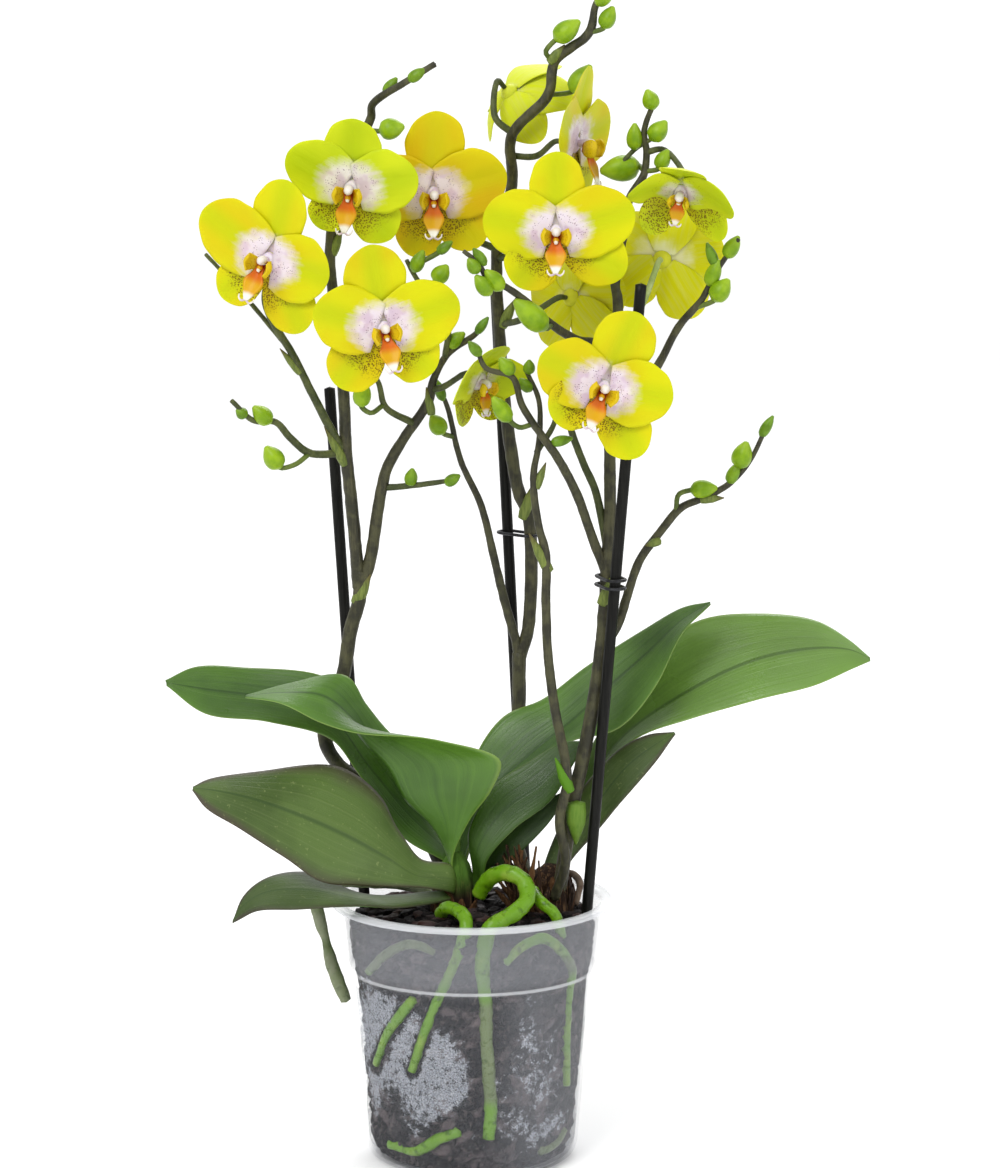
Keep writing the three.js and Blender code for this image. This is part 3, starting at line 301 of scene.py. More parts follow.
clear = plastic.plus(plastic.plus(haze, 0.04), plastic.maths("MAXIMUM", mist, right_side_haze))
# Rim, painted step highlight, foot and film each make the wall less clear.
for share, strength in ((rim_white, 0.2), (step_highlight, 0.2), (foot_white, 0.12), (film, 0.46)):
    clear = plastic.plus(clear, plastic.times(share, strength))
plastic.paint(plastic.maths("MINIMUM", clear, 0.92), "Alpha")
# The rim lip is whiter than the wall, and so is the step, where the whiteness is a painted highlight.
wall_colour = plastic.mix(plastic.maths("MAXIMUM", rim_white, step_highlight), "a9abb2", "eef0f4")
film_colour = plastic.mix(plastic.fade(plastic.noise(1800, 2), 0.42, 0.62), "a3a9b5", "dde1e8")
plastic.paint(plastic.mix(film, wall_colour, film_colour))
plastic.paint(plastic.fade(film, 0, 1, 0.12, 0.6), "Roughness")
plastic.bump(plastic.noise(160, 2), 0.0003, 0.25)

pot = pot_skin.piece("pot_wall", plastic.material)
holes = Skin()
for hole in range(DRAIN_HOLES):
    angle = 2 * math.pi * hole / DRAIN_HOLES
    place = (DRAIN_CIRCLE_RADIUS * math.cos(angle), DRAIN_CIRCLE_RADIUS * math.sin(angle), 0)
    hole_rings = turned([(DRAIN_HOLE_RADIUS, -2), (DRAIN_HOLE_RADIUS, 3)], HOLE_SIDES) + place
    ends = [tuple(range(HOLE_SIDES)), tuple(range(HOLE_SIDES, 2 * HOLE_SIDES))]
    holes.add(hole_rings, grid_faces(2, HOLE_SIDES, around=True) + ends)
cutter = holes.piece("drain_cutter")
cut = pot.modifiers.new("drain", "BOOLEAN")
cut.object = cutter
cut.operation = "DIFFERENCE"
cut.solver = "EXACT"
bpy.context.view_layer.update()
cut_mesh = bpy.data.meshes.new_from_object(pot.evaluated_get(bpy.context.evaluated_depsgraph_get()))
pot.modifiers.clear()
pot.data = cut_mesh
bpy.data.objects.remove(cutter)
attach(pot, "root")
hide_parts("pot")

# ---- roots
# Thick living roots: a spongy skin over a wiry core, bright green where wet and silvery where dry.
# They grew out of the crowns, over the mix and down inside the wall, and one hangs outside the pot.
ROOTS = {
    "root_loop": ("root_green", [3.4, 3.5, 3.4, 3, 2.8], [
        [3, -12, 116], [6, -15, 122], [10.5, -20, 126.5], [16, -25, 128], [22, -29, 125.5],
        [23, -35, 119.5], [17, -42, 114.5], [8, -47.5, 110], [5, -49.2, 100], [5, -47.6, 86],
        [6, -45.2, 76], [6, -44.6, 66], [7, -43, 46], [8, -41.6, 30], [7, -40.8, 18],
    ]),
    "root_front_left": ("root_green", [2.8, 2.8, 2.4, 2], [
        [-13, -18, 109], [-10, -28, 114], [-4, -38, 114], [-2, -44, 110], [-5, -48.5, 101],
        [-10, -47.5, 88], [-15, -43.5, 76], [-20, -40.5, 62], [-25, -36.5, 46],
    ]),
    "root_diagonal": ("root_green", [2.2, 2.4, 1.6], [
        [-24, -40.3, 78], [-29, -36.4, 71], [-36, -27.6, 58], [-40.4, -19, 44],
    ]),
    "root_arch_left": ("root_green", [2, 2.2, 1.8], [
        [-43, -25.5, 86], [-35.5, -36, 96], [-25.5, -43.2, 102], [-15, -47.6, 100],
    ]),
    "root_right": ("root_green", [2, 2.3, 2.3, 1.8], [
        [14, -47.5, 95], [20, -46.5, 101], [29.5, -41.2, 104], [36.8, -34.8, 98], [41.8, -26.6, 87],
        [40.6, -23.6, 77], [39.8, -22.4, 59], [39.8, -19, 35],
    ]),
    "root_bottom_left": ("root_green", [2.2, 2.6, 2.2], [
        [-34.5, -22.5, 10], [-22, -34.4, 11], [-14, -38.8, 17], [-5, -41.4, 21],
    ]),
    "root_bottom_right": ("root_green", [2, 2.2, 1.8], [
        [28.5, -29.6, 9], [34.1, -23.2, 10], [39, -14.4, 14],
    ]),
    "root_surface_right": ("root_green", [2.8, 2.6, 2.2], [
        [27, -9, 114], [26, -20, 119], [29, -30, 117], [35, -33, 112], [38, -30, 100],
    ]),
    "root_dry": ("root_dry", [1.4, 1.6, 1.3], [
        [44, 4, 108], [46, 12, 115], [43, 22, 117], [36, 31, 114], [32, 36, 104],
    ]),
    "root_aerial": ("root_grey", [2.6, 2.8, 2.9, 2.9, 2.9, 2.8, 2.8, 2.7, 1.7, 2.8, 2.8, 2.6, 2.2], [
        [-17, 4, 110], [-24, 8, 115], [-44, 8, 117], [-58, 5, 117.5], [-66, 1, 112], [-65, -2, 104],
        [-62, -4, 94], [-59.5, -6, 84], [-55.5, -8, 74], [-53.5, -9, 69],
    ]),
}


def smooth_path(points, count):
    """`count` points on the smooth curve through the given ones."""
    knots = np.array(points, float)
    knots = np.vstack([2 * knots[0] - knots[1], knots, 2 * knots[-1] - knots[-2]])
    path = []
    for place in np.linspace(0, len(points) - 1, count):
        index = min(int(place), len(points) - 2)
        t = place - index
        a, b, c, d = knots[index : index + 4]
        first, middle, last = (max(math.dist(p, q) ** 0.5, 1e-4) for p, q in ((a, b), (b, c), (c, d)))
        leave = ((b - a) / first - (c - a) / (first + middle) + (c - b) / middle) * middle
        arrive = ((c - b) / middle - (d - b) / (middle + last) + (d - c) / last) * middle
        bend = -3 * b + 3 * c - 2 * leave - arrive
        path.append(b + leave * t + bend * t**2 + (2 * b - 2 * c + leave + arrive) * t**3)
    return np.array(path)


def add_tube(skin, points, radii, sides=14, step=1.6, wobble=0.0, look=0, lobes=None, **values):
    """A round tube with domed ends along the smooth curve through the points."""
    length = sum(math.dist(p, q) for p, q in zip(points, points[1:]))
    count = max(3 * len(points), int(length / step))
    centres = smooth_path(points, count)
    tangents = np.gradient(centres, axis=0)
    tangents /= np.linalg.norm(tangents, axis=1, keepdims=True)
    radius = np.interp(np.linspace(0, 1, count), np.linspace(0, 1, len(radii)), radii)
    angles = np.arange(sides) * 2 * math.pi / sides
    normal = np.cross(tangents[0], (0.3, 1.0, 0.1))
    rings = []
    for index, (centre, tangent) in enumerate(zip(centres, tangents)):
        normal = normal - tangent * normal.dot(tangent)
        normal /= np.linalg.norm(normal)
        side = np.cross(tangent, normal)
        reach = np.full(sides, radius[index])
        if lobes is not None:
            reach = reach * lobes(angles, index / (count - 1))
        for corner, angle in enumerate(angles):
            out = normal * math.cos(angle) + side * math.sin(angle)
            if wobble:
                reach[corner] *= 1 + wobble * noise.noise(Vector((centre + out * radius[index]) * 0.28))
            rings.append(centre + out * reach[corner])
    ends = [centres[0] - tangents[0] * radius[0] * 0.35, centres[-1] + tangents[-1] * radius[-1] * 0.35]
    faces = grid_faces(count, sides, around=True)
    start, end = count * sides, count * sides + 1
    for corner in range(sides):
        after = (corner + 1) % sides
        faces.append((after, corner, start))
        faces.append((end - 1 - sides + corner, end - 1 - sides + after, end))
    along = np.append(np.repeat(np.linspace(0, 1, count), sides), (0, 1))
    seam = np.exp(-((np.sin(1.5 * np.append(np.tile(angles, count), (1, 1))) / 0.2) ** 2))
    skin.add(np.vstack([rings, ends]), faces, look=look, along=along, seam=seam, **values)


# Between these heights a root lies in the dry mix and is grey.
DRY_STRETCH = {
    "root_loop": (32, 80), "root_arch_left": (84, 112), "root_right": (84, 96), "root_bottom_right": (0, 30),
}

velamen = {}
for finish, (wet, pale, dark, share, shine) in {
    "root_green": ("62900c", "84a030", "2c4a08", 0.6, 0.2),
    "root_grey": ("68754c", "8b9078", "46523a", 0.5, 0.55),
    "root_dry": ("5d4a3c", "857565", "33261d", 0.5, 0.8),
}.items():
    bast = Look(finish, Roughness=shine, Specular_IOR_Level=0.35)
    mottle = bast.noise(260, 5, 0.6)
    base = bast.mix(bast.fade(bast.noise(90, 3), share - 0.12, share + 0.22), wet, pale)
    base = bast.mix(bast.times(bast.value("dried"), 0.85), base, "66704e")
    pits = (bast.noise(520, 3, 0.7), 0.64, 0.76, 0.35, dark)
    bast.paint(bast.coats(base, pits, (mottle, 0.46, 0.3, 0.7, dark)))
    bast.paint(bast.fade(mottle, 0.3, 0.7, shine, min(1.0, shine + 0.25)), "Roughness")
    bast.bump(bast.noise(700, 4, 0.6), 0.0005, 0.5)
    velamen[finish] = bast.material

for name, (finish, radii, path) in ROOTS.items():
    root_skin = Skin()
    add_tube(root_skin, path, radii, sides=18, step=1.2, wobble=0.16)
    low, high = DRY_STRETCH.get(name, (0, 0))
    heights = np.vstack(root_skin.corners)[:, 2]
    root_skin.values["dried"] = [np.clip(np.minimum(heights - low, high - heights) / 4, 0, 1)]
    grown = root_skin.piece(name + "_velamen", velamen[finish])
    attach(grown, "root")
    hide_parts(name)

# ---- potting mix
# Dark chunks of fir bark with some fibre, loosely filled up to just under the rim. Against the clear
# wall the chunks show flat faces and gaps, and the roots press themselves between them.
MIX_PROFILE = [
    (8, 1.9), (37.4, 1.9), (41, 4), (43.3, 10), (48.8, 78), (50.6, 84), (52.2, 96), (52.3, 102), (50, 104),
    (40, 104.2), (28, 105.6), (14, 106.6), (4, 107),
]
MIX_SIDES = 260
MIX_STEP = 1.4
CHUNK = 0.13
CHUNK_GAP = 2.2
CHUNK_DEPTH = 1.5
BED_REACH = 1.6
MIX_FLAT_FOOT = 3
MIX_TOP = 103.5
CHIP_COUNT = 190
CHIP_SEED = 7
CHIP_SPREAD = 47
CHIP_BED = 104.4
CHIP_MOUND = 2.6


def chunky(profile):
    """The outside of the mix, pushed in and out cell by cell and pressed back where a root lies."""
    rings = turned(profile, MIX_SIDES).reshape(-1, 3)
    inward = rings / np.maximum(np.linalg.norm(rings[:, :2], axis=1, keepdims=True), 1e-6) * (1, 1, 0)
    beds = [(smooth_path(path, 6 * len(path)), max(radii)) for _, radii, path in ROOTS.values()]
    tone, edges = np.zeros(len(rings)), np.ones(len(rings))
    for index, corner in enumerate(rings):
        where = Vector(corner * (CHUNK, CHUNK, CHUNK * 1.5)) + drifting(Vector(corner) * 0.2) * 0.35
        distances, points = noise.voronoi(where)
        edge = min(1.0, (distances[1] - distances[0]) * 3.2)
        tone[index] = noise.cell(points[0] * 7.3)
        edges[index] = edge
        push = 0.5 * noise.noise(Vector(corner) * 0.9) - CHUNK_GAP * (1 - edge) - CHUNK_DEPTH * tone[index]
        for bed, thickness in beds:
            gap = np.min(np.linalg.norm(bed - corner, axis=1))
            push = min(push, -1.3 * max(0.0, thickness + BED_REACH - gap))
        if corner[2] > MIX_TOP:
            rings[index, 2] += push * 0.9 + 1.6
        elif corner[2] > MIX_FLAT_FOOT:
            rings[index] += inward[index] * min(0.0, push)
    return rings, tone, edges


mix_profile = finer(MIX_PROFILE, MIX_STEP)
mix_corners, mix_tones, mix_edges = chunky(mix_profile)
mix_faces = grid_faces(len(mix_profile), MIX_SIDES, around=True)
mix_faces += [tuple(range(MIX_SIDES)), tuple(range(len(mix_corners) - MIX_SIDES, len(mix_corners)))]
mix_skin = Skin()
mix_skin.add(mix_corners, mix_faces, tone=mix_tones, edge=mix_edges)
draw = random.Random(CHIP_SEED)
chip_shape = bmesh.new()
bmesh.ops.create_icosphere(chip_shape, subdivisions=1, radius=1)
chip_shape.verts.ensure_lookup_table()
chip_corners = np.array([v.co[:] for v in chip_shape.verts])
chip_faces = [tuple(v.index for v in f.verts) for f in chip_shape.faces]
chip_shape.free()
for _ in range(CHIP_COUNT):
    reach = CHIP_SPREAD * math.sqrt(draw.random())
    angle = draw.uniform(0, 2 * math.pi)
    size = np.array([draw.uniform(2.5, 6.5), draw.uniform(1.8, 4), draw.uniform(1.0, 2.4)])
    spin = angle * 3
    turn = np.array(Matrix.Rotation(spin, 3, "Z"))
    tip = np.array(Matrix.Rotation(draw.uniform(-0.5, 0.5), 3, "X"))
    rough = chip_corners * (1 + np.array([[draw.uniform(-0.22, 0.22)] for _ in chip_corners]))
    squared = np.sign(rough) * np.abs(rough) ** 0.75
    chip = (squared * size) @ tip.T @ turn.T
    height = CHIP_BED + CHIP_MOUND * (1 - reach / 50) + draw.uniform(-0.6, 1.4)
    chip += (reach * math.cos(angle), reach * math.sin(angle), height)
    mix_skin.add(chip, chip_faces, tone=draw.random(), edge=1)

bark = Look("bark_mix", Roughness=0.85, Specular_IOR_Level=0.15)
bark_grain = bark.noise(330, 6, 0.65)
bark_tone = bark.value("tone")
top_share = bark.fade(bark.noise(75, 3), 0.4, 0.62, 0.5, 0.95)
top_colour = bark.mix(bark.fade(bark_tone, 0.3, 0.9), "0c0706", "33190f")
bark_colour = bark.coats(
    bark.mix(bark.fade(bark_tone, 0.1, 0.9), "040304", "5a5152"),
    (bark_grain, 0.52, 0.68, 0.5, "7a6e6c"),
    (bark_grain, 0.46, 0.36, 0.55, "060505"),
    (bark.noise(70, 3), 0.56, 0.74, 0.5, "5f5759"),
    (bark.height(), 0.1, 0.104, top_share, top_colour),
    # The gaps between chunks are painted near black: painted shade in the crevices.
    (bark.value("edge"), 0.45, 0.0, 0.9, "040303"),
)
bark.paint(bark_colour)
bark.paint(bark.fade(bark.noise(120, 2), 0.35, 0.65, 0.45, 0.95), "Roughness")
bark.bump(bark.noise(420, 8, 0.7), 0.0012, 0.9)
mix = mix_skin.piece("potting_mix_bark", bark.material)
mix.data.polygons.foreach_set("use_smooth", [False] * len(mix.data.polygons))
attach(mix, "root")
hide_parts("potting_mix")

# ---- crowns
# The short stems that leaves and roots grow from, wrapped in the dry brown sheaths of leaves that
# fell. The sheaths have split into papery strips and fibre.
CROWNS = {
    "crown_left": ((-8, -2, 96), (-7, -1, 132), 10.5, 16, 1),
    "crown_right": ((30, 4, 96), (34, 6, 125), 13, 30, 0),
}
LOOSE_FIBRES = 34
CROWN_GRID = (22, 40)
STRIP_ROWS, STRIP_COLUMNS = 9, 5
CROWN_LEVELS = ((0, 0.8), (0.25, 1), (0.6, 0.92), (0.85, 0.66), (1, 0.3))

sheath = Look("old_leaf_base", Roughness=0.85, Specular_IOR_Level=0.2)
sheath_fibre = sheath.noise(1, 5, 0.7, sheath.place((900, 900, 70)))
sheath_colour = sheath.coats(
    sheath.mix(sheath.fade(sheath.value("tone"), 0, 1), "24160e", "55391f"),
    (sheath_fibre, 0.5, 0.7, 0.75, "86694a"),
    (sheath_fibre, 0.42, 0.3, 0.8, "160d08"),
)
sheath_green = sheath.mix(sheath_fibre, "33561a", "587a2a")
sheath.paint(sheath.mix(sheath.value("fresh"), sheath_colour, sheath_green))
sheath.bump(sheath_fibre, 0.0009, 0.9)


def add_sheet(skin, points, half, **values):
    """A thin closed sheet on a grid of points, `half` millimetres to each side of them."""
    rows, columns, _ = points.shape
    normal = np.cross(np.gradient(points, axis=0), np.gradient(points, axis=1))
    normal /= np.maximum(np.linalg.norm(normal, axis=2, keepdims=True), 1e-9)
    half = np.broadcast_to(half, (rows, columns))[..., None]
    under = rows * columns
    faces = grid_faces(rows, columns)
    faces += [tuple(corner + under for corner in face[::-1]) for face in faces]
    border = (
        [(0, c) for c in range(columns)]
        + [(r, columns - 1) for r in range(1, rows)]
        + [(rows - 1, c) for c in range(columns - 2, -1, -1)]
        + [(r, 0) for r in range(rows - 2, 0, -1)]
    )
    for (r, c), (next_r, next_c) in zip(border, border[1:] + border[:1]):
        a, b = r * columns + c, next_r * columns + next_c
        faces.append((b, a, a + under, b + under))
    both = {name: np.tile(np.broadcast_to(v, (rows, columns)).ravel(), 2) for name, v in values.items()}
    corners = np.concatenate([points + normal * half, points - normal * half]).reshape(-1, 3)
    skin.add(corners, faces, front=np.repeat((1.0, 0.0), under), **both)


for name, (foot, head, radius, strips, green) in CROWNS.items():
    crown_skin = Skin()
    foot, head = np.array(foot, float), np.array(head, float)
    rows, columns = CROWN_GRID
    body = np.zeros((rows, columns, 3))
    for row in range(rows):
        height = row / (rows - 1)
        width = np.interp(height, *zip(*CROWN_LEVELS)) * radius * 0.86
        for column in range(columns):
            angle = 2 * math.pi * column / columns
            ridge = 1 + 0.07 * math.sin(angle * 9 + 2 * height)
            body[row, column] = foot + (head - foot) * height
            body[row, column, :2] += np.array([math.cos(angle), math.sin(angle)]) * width * ridge
    ends = [tuple(range(columns)), tuple(range((rows - 1) * columns, rows * columns))]
    fresh = green * np.repeat(np.clip((np.linspace(0, 1, rows) - 0.5) * 4, 0, 1), columns)
    crown_skin.add(body, grid_faces(rows, columns, around=True) + ends, tone=0.1, fresh=fresh)
    for strip in range(strips):
        angle = 2 * math.pi * (strip + draw.uniform(-0.3, 0.3)) / strips
        low, high = draw.uniform(0.1, 0.3), draw.uniform(0.55, 0.93) * (0.8 if green else 1)
        lean, wide = draw.uniform(-0.5, 0.5), draw.uniform(2.2, 4.6)
        grid = np.zeros((STRIP_ROWS, STRIP_COLUMNS, 3))
        for row, up in enumerate(np.linspace(0, 1, STRIP_ROWS)):
            height = low + (high - low) * up
            width = np.interp(height, *zip(*CROWN_LEVELS)) * radius * (0.93 + 0.05 * up**2)
            for column, share in enumerate(np.linspace(-1, 1, STRIP_COLUMNS) * (1 - 0.75 * up**3)):
                turn_here = angle + lean * up + share * wide / radius
                grid[row, column] = foot + (head - foot) * height
                grid[row, column, :2] += np.array([math.cos(turn_here), math.sin(turn_here)]) * width
        add_sheet(crown_skin, grid, 0.3, tone=draw.random())
    for _ in range(0 if green else LOOSE_FIBRES):
        start = np.array((draw.uniform(20, 30), draw.uniform(-8, 2), 105))
        end = start + (draw.uniform(-14, 4), draw.uniform(-4, 2), draw.uniform(12, 31))
        middle = (start + end) / 2 + (draw.uniform(-3, 1), draw.uniform(-3, 0), 3)
        fibre = [start, middle, end]
        add_tube(crown_skin, fibre, [1.6, 1.3, 0.4], sides=6, step=2.5, wobble=0.8, tone=draw.random())
    crown = crown_skin.piece(name + "_sheaths", sheath.material)
    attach(crown, "root")
    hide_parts(name)

# ---- leaves
# Thick leathery leaves in two rows, grooved along the midrib. The upper side is satin green with fine
# long veins, and the underside is duller, with a purple-brown margin where the sun has reached it.
LEAVES = {
    "leaf_back_left": [
        [[-12, 10, 130], [-9, 5, 127], [-10, 0, 126]], [[-29, 14, 159], [-27, 8, 146], [-29, 0, 138]],
        [[-43, 12, 185], [-44, 7, 167], [-49, 1, 166]], [[-60, 12, 204], [-62, 8, 190], [-59, 2, 180]],
        [[-96, 13, 209], [-89, 7, 197], [-86, -2, 188]],
        [[-117, 8, 210], [-113, 4, 201], [-112, -4, 192]], [[-131, 0, 205]],
    ],
    "leaf_folded_left": [
        [[-5, 1, 132], [-9, -4, 128], [-8, -9, 131]], [[-4, 2, 147], [-16, -9, 144.5], [-1, -13, 148]],
        [[1, 5, 159], [-28, -12, 157.5], [8.5, -16, 162]],
        [[-8.5, 5, 173], [-35, -14, 171], [12, -17, 175]],
        [[-28.5, 2, 178.5], [-46, -15, 184], [-13, -26, 185]],
        [[-44, -4, 196], [-52.5, -17, 194.5], [-46.5, -29, 188]],
        [[-53, -8, 209], [-62.5, -19, 202.5], [-62, -29, 193]],
        [[-75.5, -9, 206.5], [-79, -18, 203.5], [-78.5, -26, 200.5]], [[-96.6, -18, 202]],
    ],
    "leaf_low_left": [
        [[-9, -8, 128], [-8, -11, 122], [-9, -13, 117]],
        [[-22, -10, 131], [-23, -18, 125], [-26, -24, 122]],
        [[-31, -8, 143], [-36, -22, 134], [-46, -30, 124]],
        [[-38, -6, 157], [-51, -24, 143], [-63, -36, 127]],
        [[-56, -8, 170], [-72, -26, 153], [-78, -38, 138]],
        [[-88, -16, 170], [-92, -30, 161], [-96, -38, 150]],
        [[-109, -26, 169], [-108, -32, 165], [-110, -36, 158]], [[-117, -32, 166]],
    ],
    "leaf_drooping_left": [
        [[-12, -9, 116.5], [-11, -11, 115], [-10, -14, 114]],
        [[-30, -16, 117], [-30, -24, 116], [-32, -32, 115]],
        [[-48, -20, 119], [-46, -32, 118], [-47, -40, 117]],
        [[-70, -24, 128], [-67, -36, 123], [-71, -46, 118]],
        [[-85, -30, 128], [-84, -38, 123], [-87, -46, 117]],
        [[-95, -36, 121], [-94, -38, 118], [-95, -42, 113]], [[-100, -40, 110]],
    ],
    "leaf_folded_right": [
        [[-8, 8, 126], [-5, 4, 122], [-3, 1, 126]], [[-1, 20, 163], [8, 12, 154], [6, 4, 152]],
        [[13, 26, 185], [25, 14, 171], [25, 4, 166]], [[31, 28, 193], [44, 16, 186], [42, 4, 178]],
        [[50, 28, 207], [57, 18, 198], [62, 6, 184]], [[72, 28, 222], [74, 20, 213], [78, 8, 202]],
        [[89, 27, 232], [89, 22, 227], [90, 14, 224]], [[103, 22, 236]],
    ],
    "leaf_long_right": [
        [[33, 12, 122], [35, 9, 119], [38, 7, 120]], [[46, 34, 160], [51, 28, 155], [55, 22, 154]],
        [[66, 40, 194], [66, 30, 176], [67, 20, 174]], [[94, 44, 222], [91, 30, 194], [93, 18, 186]],
        [[124, 44, 227], [119, 30, 208], [120, 16, 194]],
        [[147, 38, 225], [144, 28, 214], [145, 16, 200]],
        [[162, 30, 217], [161, 26, 214], [162, 20, 207]], [[171, 24, 210]],
    ],
    "leaf_short_right": [
        [[30, 10, 121], [32, 6, 117], [35, 3, 115]], [[38, 14, 141], [42, 9, 134], [44, 5, 129]],
        [[50, 16, 160], [54, 10, 151], [57.5, 5, 145]], [[62, 17, 172], [66, 12, 166], [70, 8, 159]],
        [[75, 17, 179], [78, 14, 175], [80, 11, 171]], [[87.5, 14, 181]],
    ],
    "leaf_narrow_right": [
        [[0, -1, 122], [3, -3, 117], [4, -5, 114]], [[-1, -3, 142.5], [3, -7, 135], [6, -9, 129]],
        [[9, 0, 160], [14, -4, 151], [18, -7, 143]], [[23, 2, 169.5], [29, -3, 162], [33.5, -5, 155]],
        [[38, 2, 178.5], [41, -1, 174.5], [43.5, -2, 171]], [[49, -1, 180]],
    ],
    "leaf_inner_right": [
        [[-2, 4, 119], [0, 2, 115], [2, 1, 113]], [[14, 3, 138], [16.5, 0, 135], [19.5, -2, 131]],
        [[27, 5, 150.5], [29, 2, 148], [32.5, 0, 144]], [[42.5, 3, 159]],
    ],
}
LEAF_THICKNESS = 1.5
LEAF_ROWS = 72
LEAF_COLUMNS = 29
TIP_WIDTH = 0.12
UNDERSIDE_SHOWN = ("leaf_low_left", "leaf_drooping_left", "leaf_short_right")
TURNED_OVER = (
    "leaf_folded_right", "leaf_long_right", "leaf_narrow_right", "leaf_inner_right",
    "leaf_low_left", "leaf_drooping_left",
)
GREEN_BELOW = ("leaf_folded_left",)
# How much darker a leaf is painted, below zero for a lighter, younger one: partly its age and partly painted
# shade on leaves that lie in shadow.
LEAF_SHADE_AND_AGE = {
    "leaf_long_right": -0.46, "leaf_short_right": 0.24, "leaf_drooping_left": 0.45, "leaf_inner_right": 0.85,
    "leaf_narrow_right": 0.64, "leaf_folded_right": 0.24, "leaf_back_left": 0.28, "leaf_folded_left": 0.12,
}
RIGHT_CROWN_LEAVES = ("leaf_long_right", "leaf_short_right")
CROWN_HEARTS = ((-7.5, -1.5, 112), (32, 5, 110))


def leaf_look(name, purple, shine):
    leaf = Look(name, Roughness=shine, Specular_IOR_Level=0.4)
    across, along, upper, old = (leaf.value(part) for part in ("across", "along", "upper", "old"))
    side = leaf.maths("ABSOLUTE", across)
    vein_place = leaf.vector(leaf.times(across, 17.0), leaf.times(along, 0.8), upper)
    veins = leaf.noise(1.0, 5, 0.68, vein_place)
    cloud = leaf.noise(26, 3)
    green = leaf.coats(
        leaf.mix(leaf.fade(cloud, 0.32, 0.7), "335416", "4c7323"),
        (veins, 0.5, 0.7, 0.28, "628a30"),
        (veins, 0.48, 0.3, 0.3, "213f0a"),
        (side, 0.35, 1.0, 0.25, "64902c"),
        # A dark line down the midrib groove: painted shade in the groove.
        (side, 0.045, 0.01, 0.6, "22420c"),
    )
    sunned = leaf.plus(leaf.plus(side, leaf.times(cloud, 0.5)), leaf.fade(along, 0.6, 1.0, 0, 0.3))
    under = leaf.coats(
        leaf.mix(leaf.fade(cloud, 0.36, 0.64), "3b511a", "4f672a"),
        (veins, 0.48, 0.7, 0.28, "70804a"),
        (veins, 0.46, 0.32, 0.3, "33431a"),
        (sunned, 0.96, 1.34, purple, "41362c"),
        (leaf.noise(620, 3), 0.64, 0.72, 0.3, "8d9a5e"),
        # A dark line down the midrib groove: painted shade in the groove.
        (side, 0.045, 0.01, 0.25, "34441c"),
    )
    body = leaf.coats(
        leaf.mix(upper, under, green),
        (along, 0.2, 0.05, 0.3, "6c8c34"),
        # A pale line along the very edge of the upper-side finish: the margin's paler colour and a painted
        # highlight on the rounded edge; the underside finish has its purple-brown margin there instead.
        (side, 0.955, 0.995, 0.45, "94ae56" if purple < 0.5 else "3e2c26"),
        # Leaf by leaf darker or lighter: partly age, partly painted shade on leaves that lie in shadow.
        (old, 0, 1, 0.8, "182a08"),
        (old, 0, -1, 0.8, "7ea04c"),
        # A darker band along the midrib, stronger towards the tip: painted shade in the groove.
        (side, 0.07, 0.012, leaf.fade(along, 0.25, 0.5, 0.1, 0.5), "24400f"),
    )
    leaf.paint(body)
    leaf.paint(leaf.fade(leaf.noise(45, 4), 0.3, 0.7, shine - 0.06, shine + 0.12), "Roughness")
    leaf.bump(leaf.plus(veins, leaf.times(leaf.noise(1500, 2), 0.3)), 0.0007, 0.4)
    return leaf.material


leaf_finish = {
    "leaf": leaf_look("leaf", 0.15, 0.32),
    "leaf_underside": leaf_look("leaf_underside", 0.85, 0.42),
}
for leaf_number, (name, rows) in enumerate(LEAVES.items()):
    tip = np.array(rows[-1][0], float)
    rails = []
    for rail in range(3):
        before = np.array(rows[-2][rail], float)
        start = np.array(rows[0][rail], float)
        hidden = start + (np.array(CROWN_HEARTS[name in RIGHT_CROWN_LEAVES]) - start) * 0.55
        knots = [hidden] + [row[rail] for row in rows[:-1]] + [tip + (before - tip) * TIP_WIDTH]
        rails.append(smooth_path(knots, LEAF_ROWS))
    back, rib, front = rails
    across = np.linspace(-1, 1, LEAF_COLUMNS)
    along = np.linspace(0, 1, LEAF_ROWS)
    grid = np.zeros((LEAF_ROWS, LEAF_COLUMNS, 3))
    for column, share in enumerate(across):
        bow = abs(share) ** 1.3
        grid[:, column] = rib + (front - back) / 2 * share + ((front + back) / 2 - rib) * bow
    wave = np.sin(along[:, None] * 17 + leaf_number * 2 + np.sign(across) * 1.1) * np.abs(across) ** 3
    wave = wave * 0.7 * np.sin(math.pi * along)[:, None]
    normal = np.cross(np.gradient(grid, axis=0), np.gradient(grid, axis=1))
    normal /= np.maximum(np.linalg.norm(normal, axis=2, keepdims=True), 1e-9)
    grid += normal * wave[..., None]
    rounding = np.sqrt(np.clip(1 - np.abs(across) ** 6, 0.02, 1))
    half = LEAF_THICKNESS / 2 * rounding * (1 - 0.5 * along[:, None] ** 4)
    leaf_skin = Skin()
    darkening = LEAF_SHADE_AND_AGE.get(name, 0.0)
    add_sheet(leaf_skin, grid, half, across=across[None, :], along=along[:, None], old=darkening)
    front_part = np.concatenate(leaf_skin.values["front"])
    if name in TURNED_OVER:
        front_part = 1 - front_part
    leaf_skin.values["upper"] = [np.maximum(front_part, name in GREEN_BELOW)]
    finish = "leaf_underside" if name in UNDERSIDE_SHOWN else "leaf"
    grown = leaf_skin.piece(name + "_blade", leaf_finish[finish])
    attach(grown, "root")
    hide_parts(name)

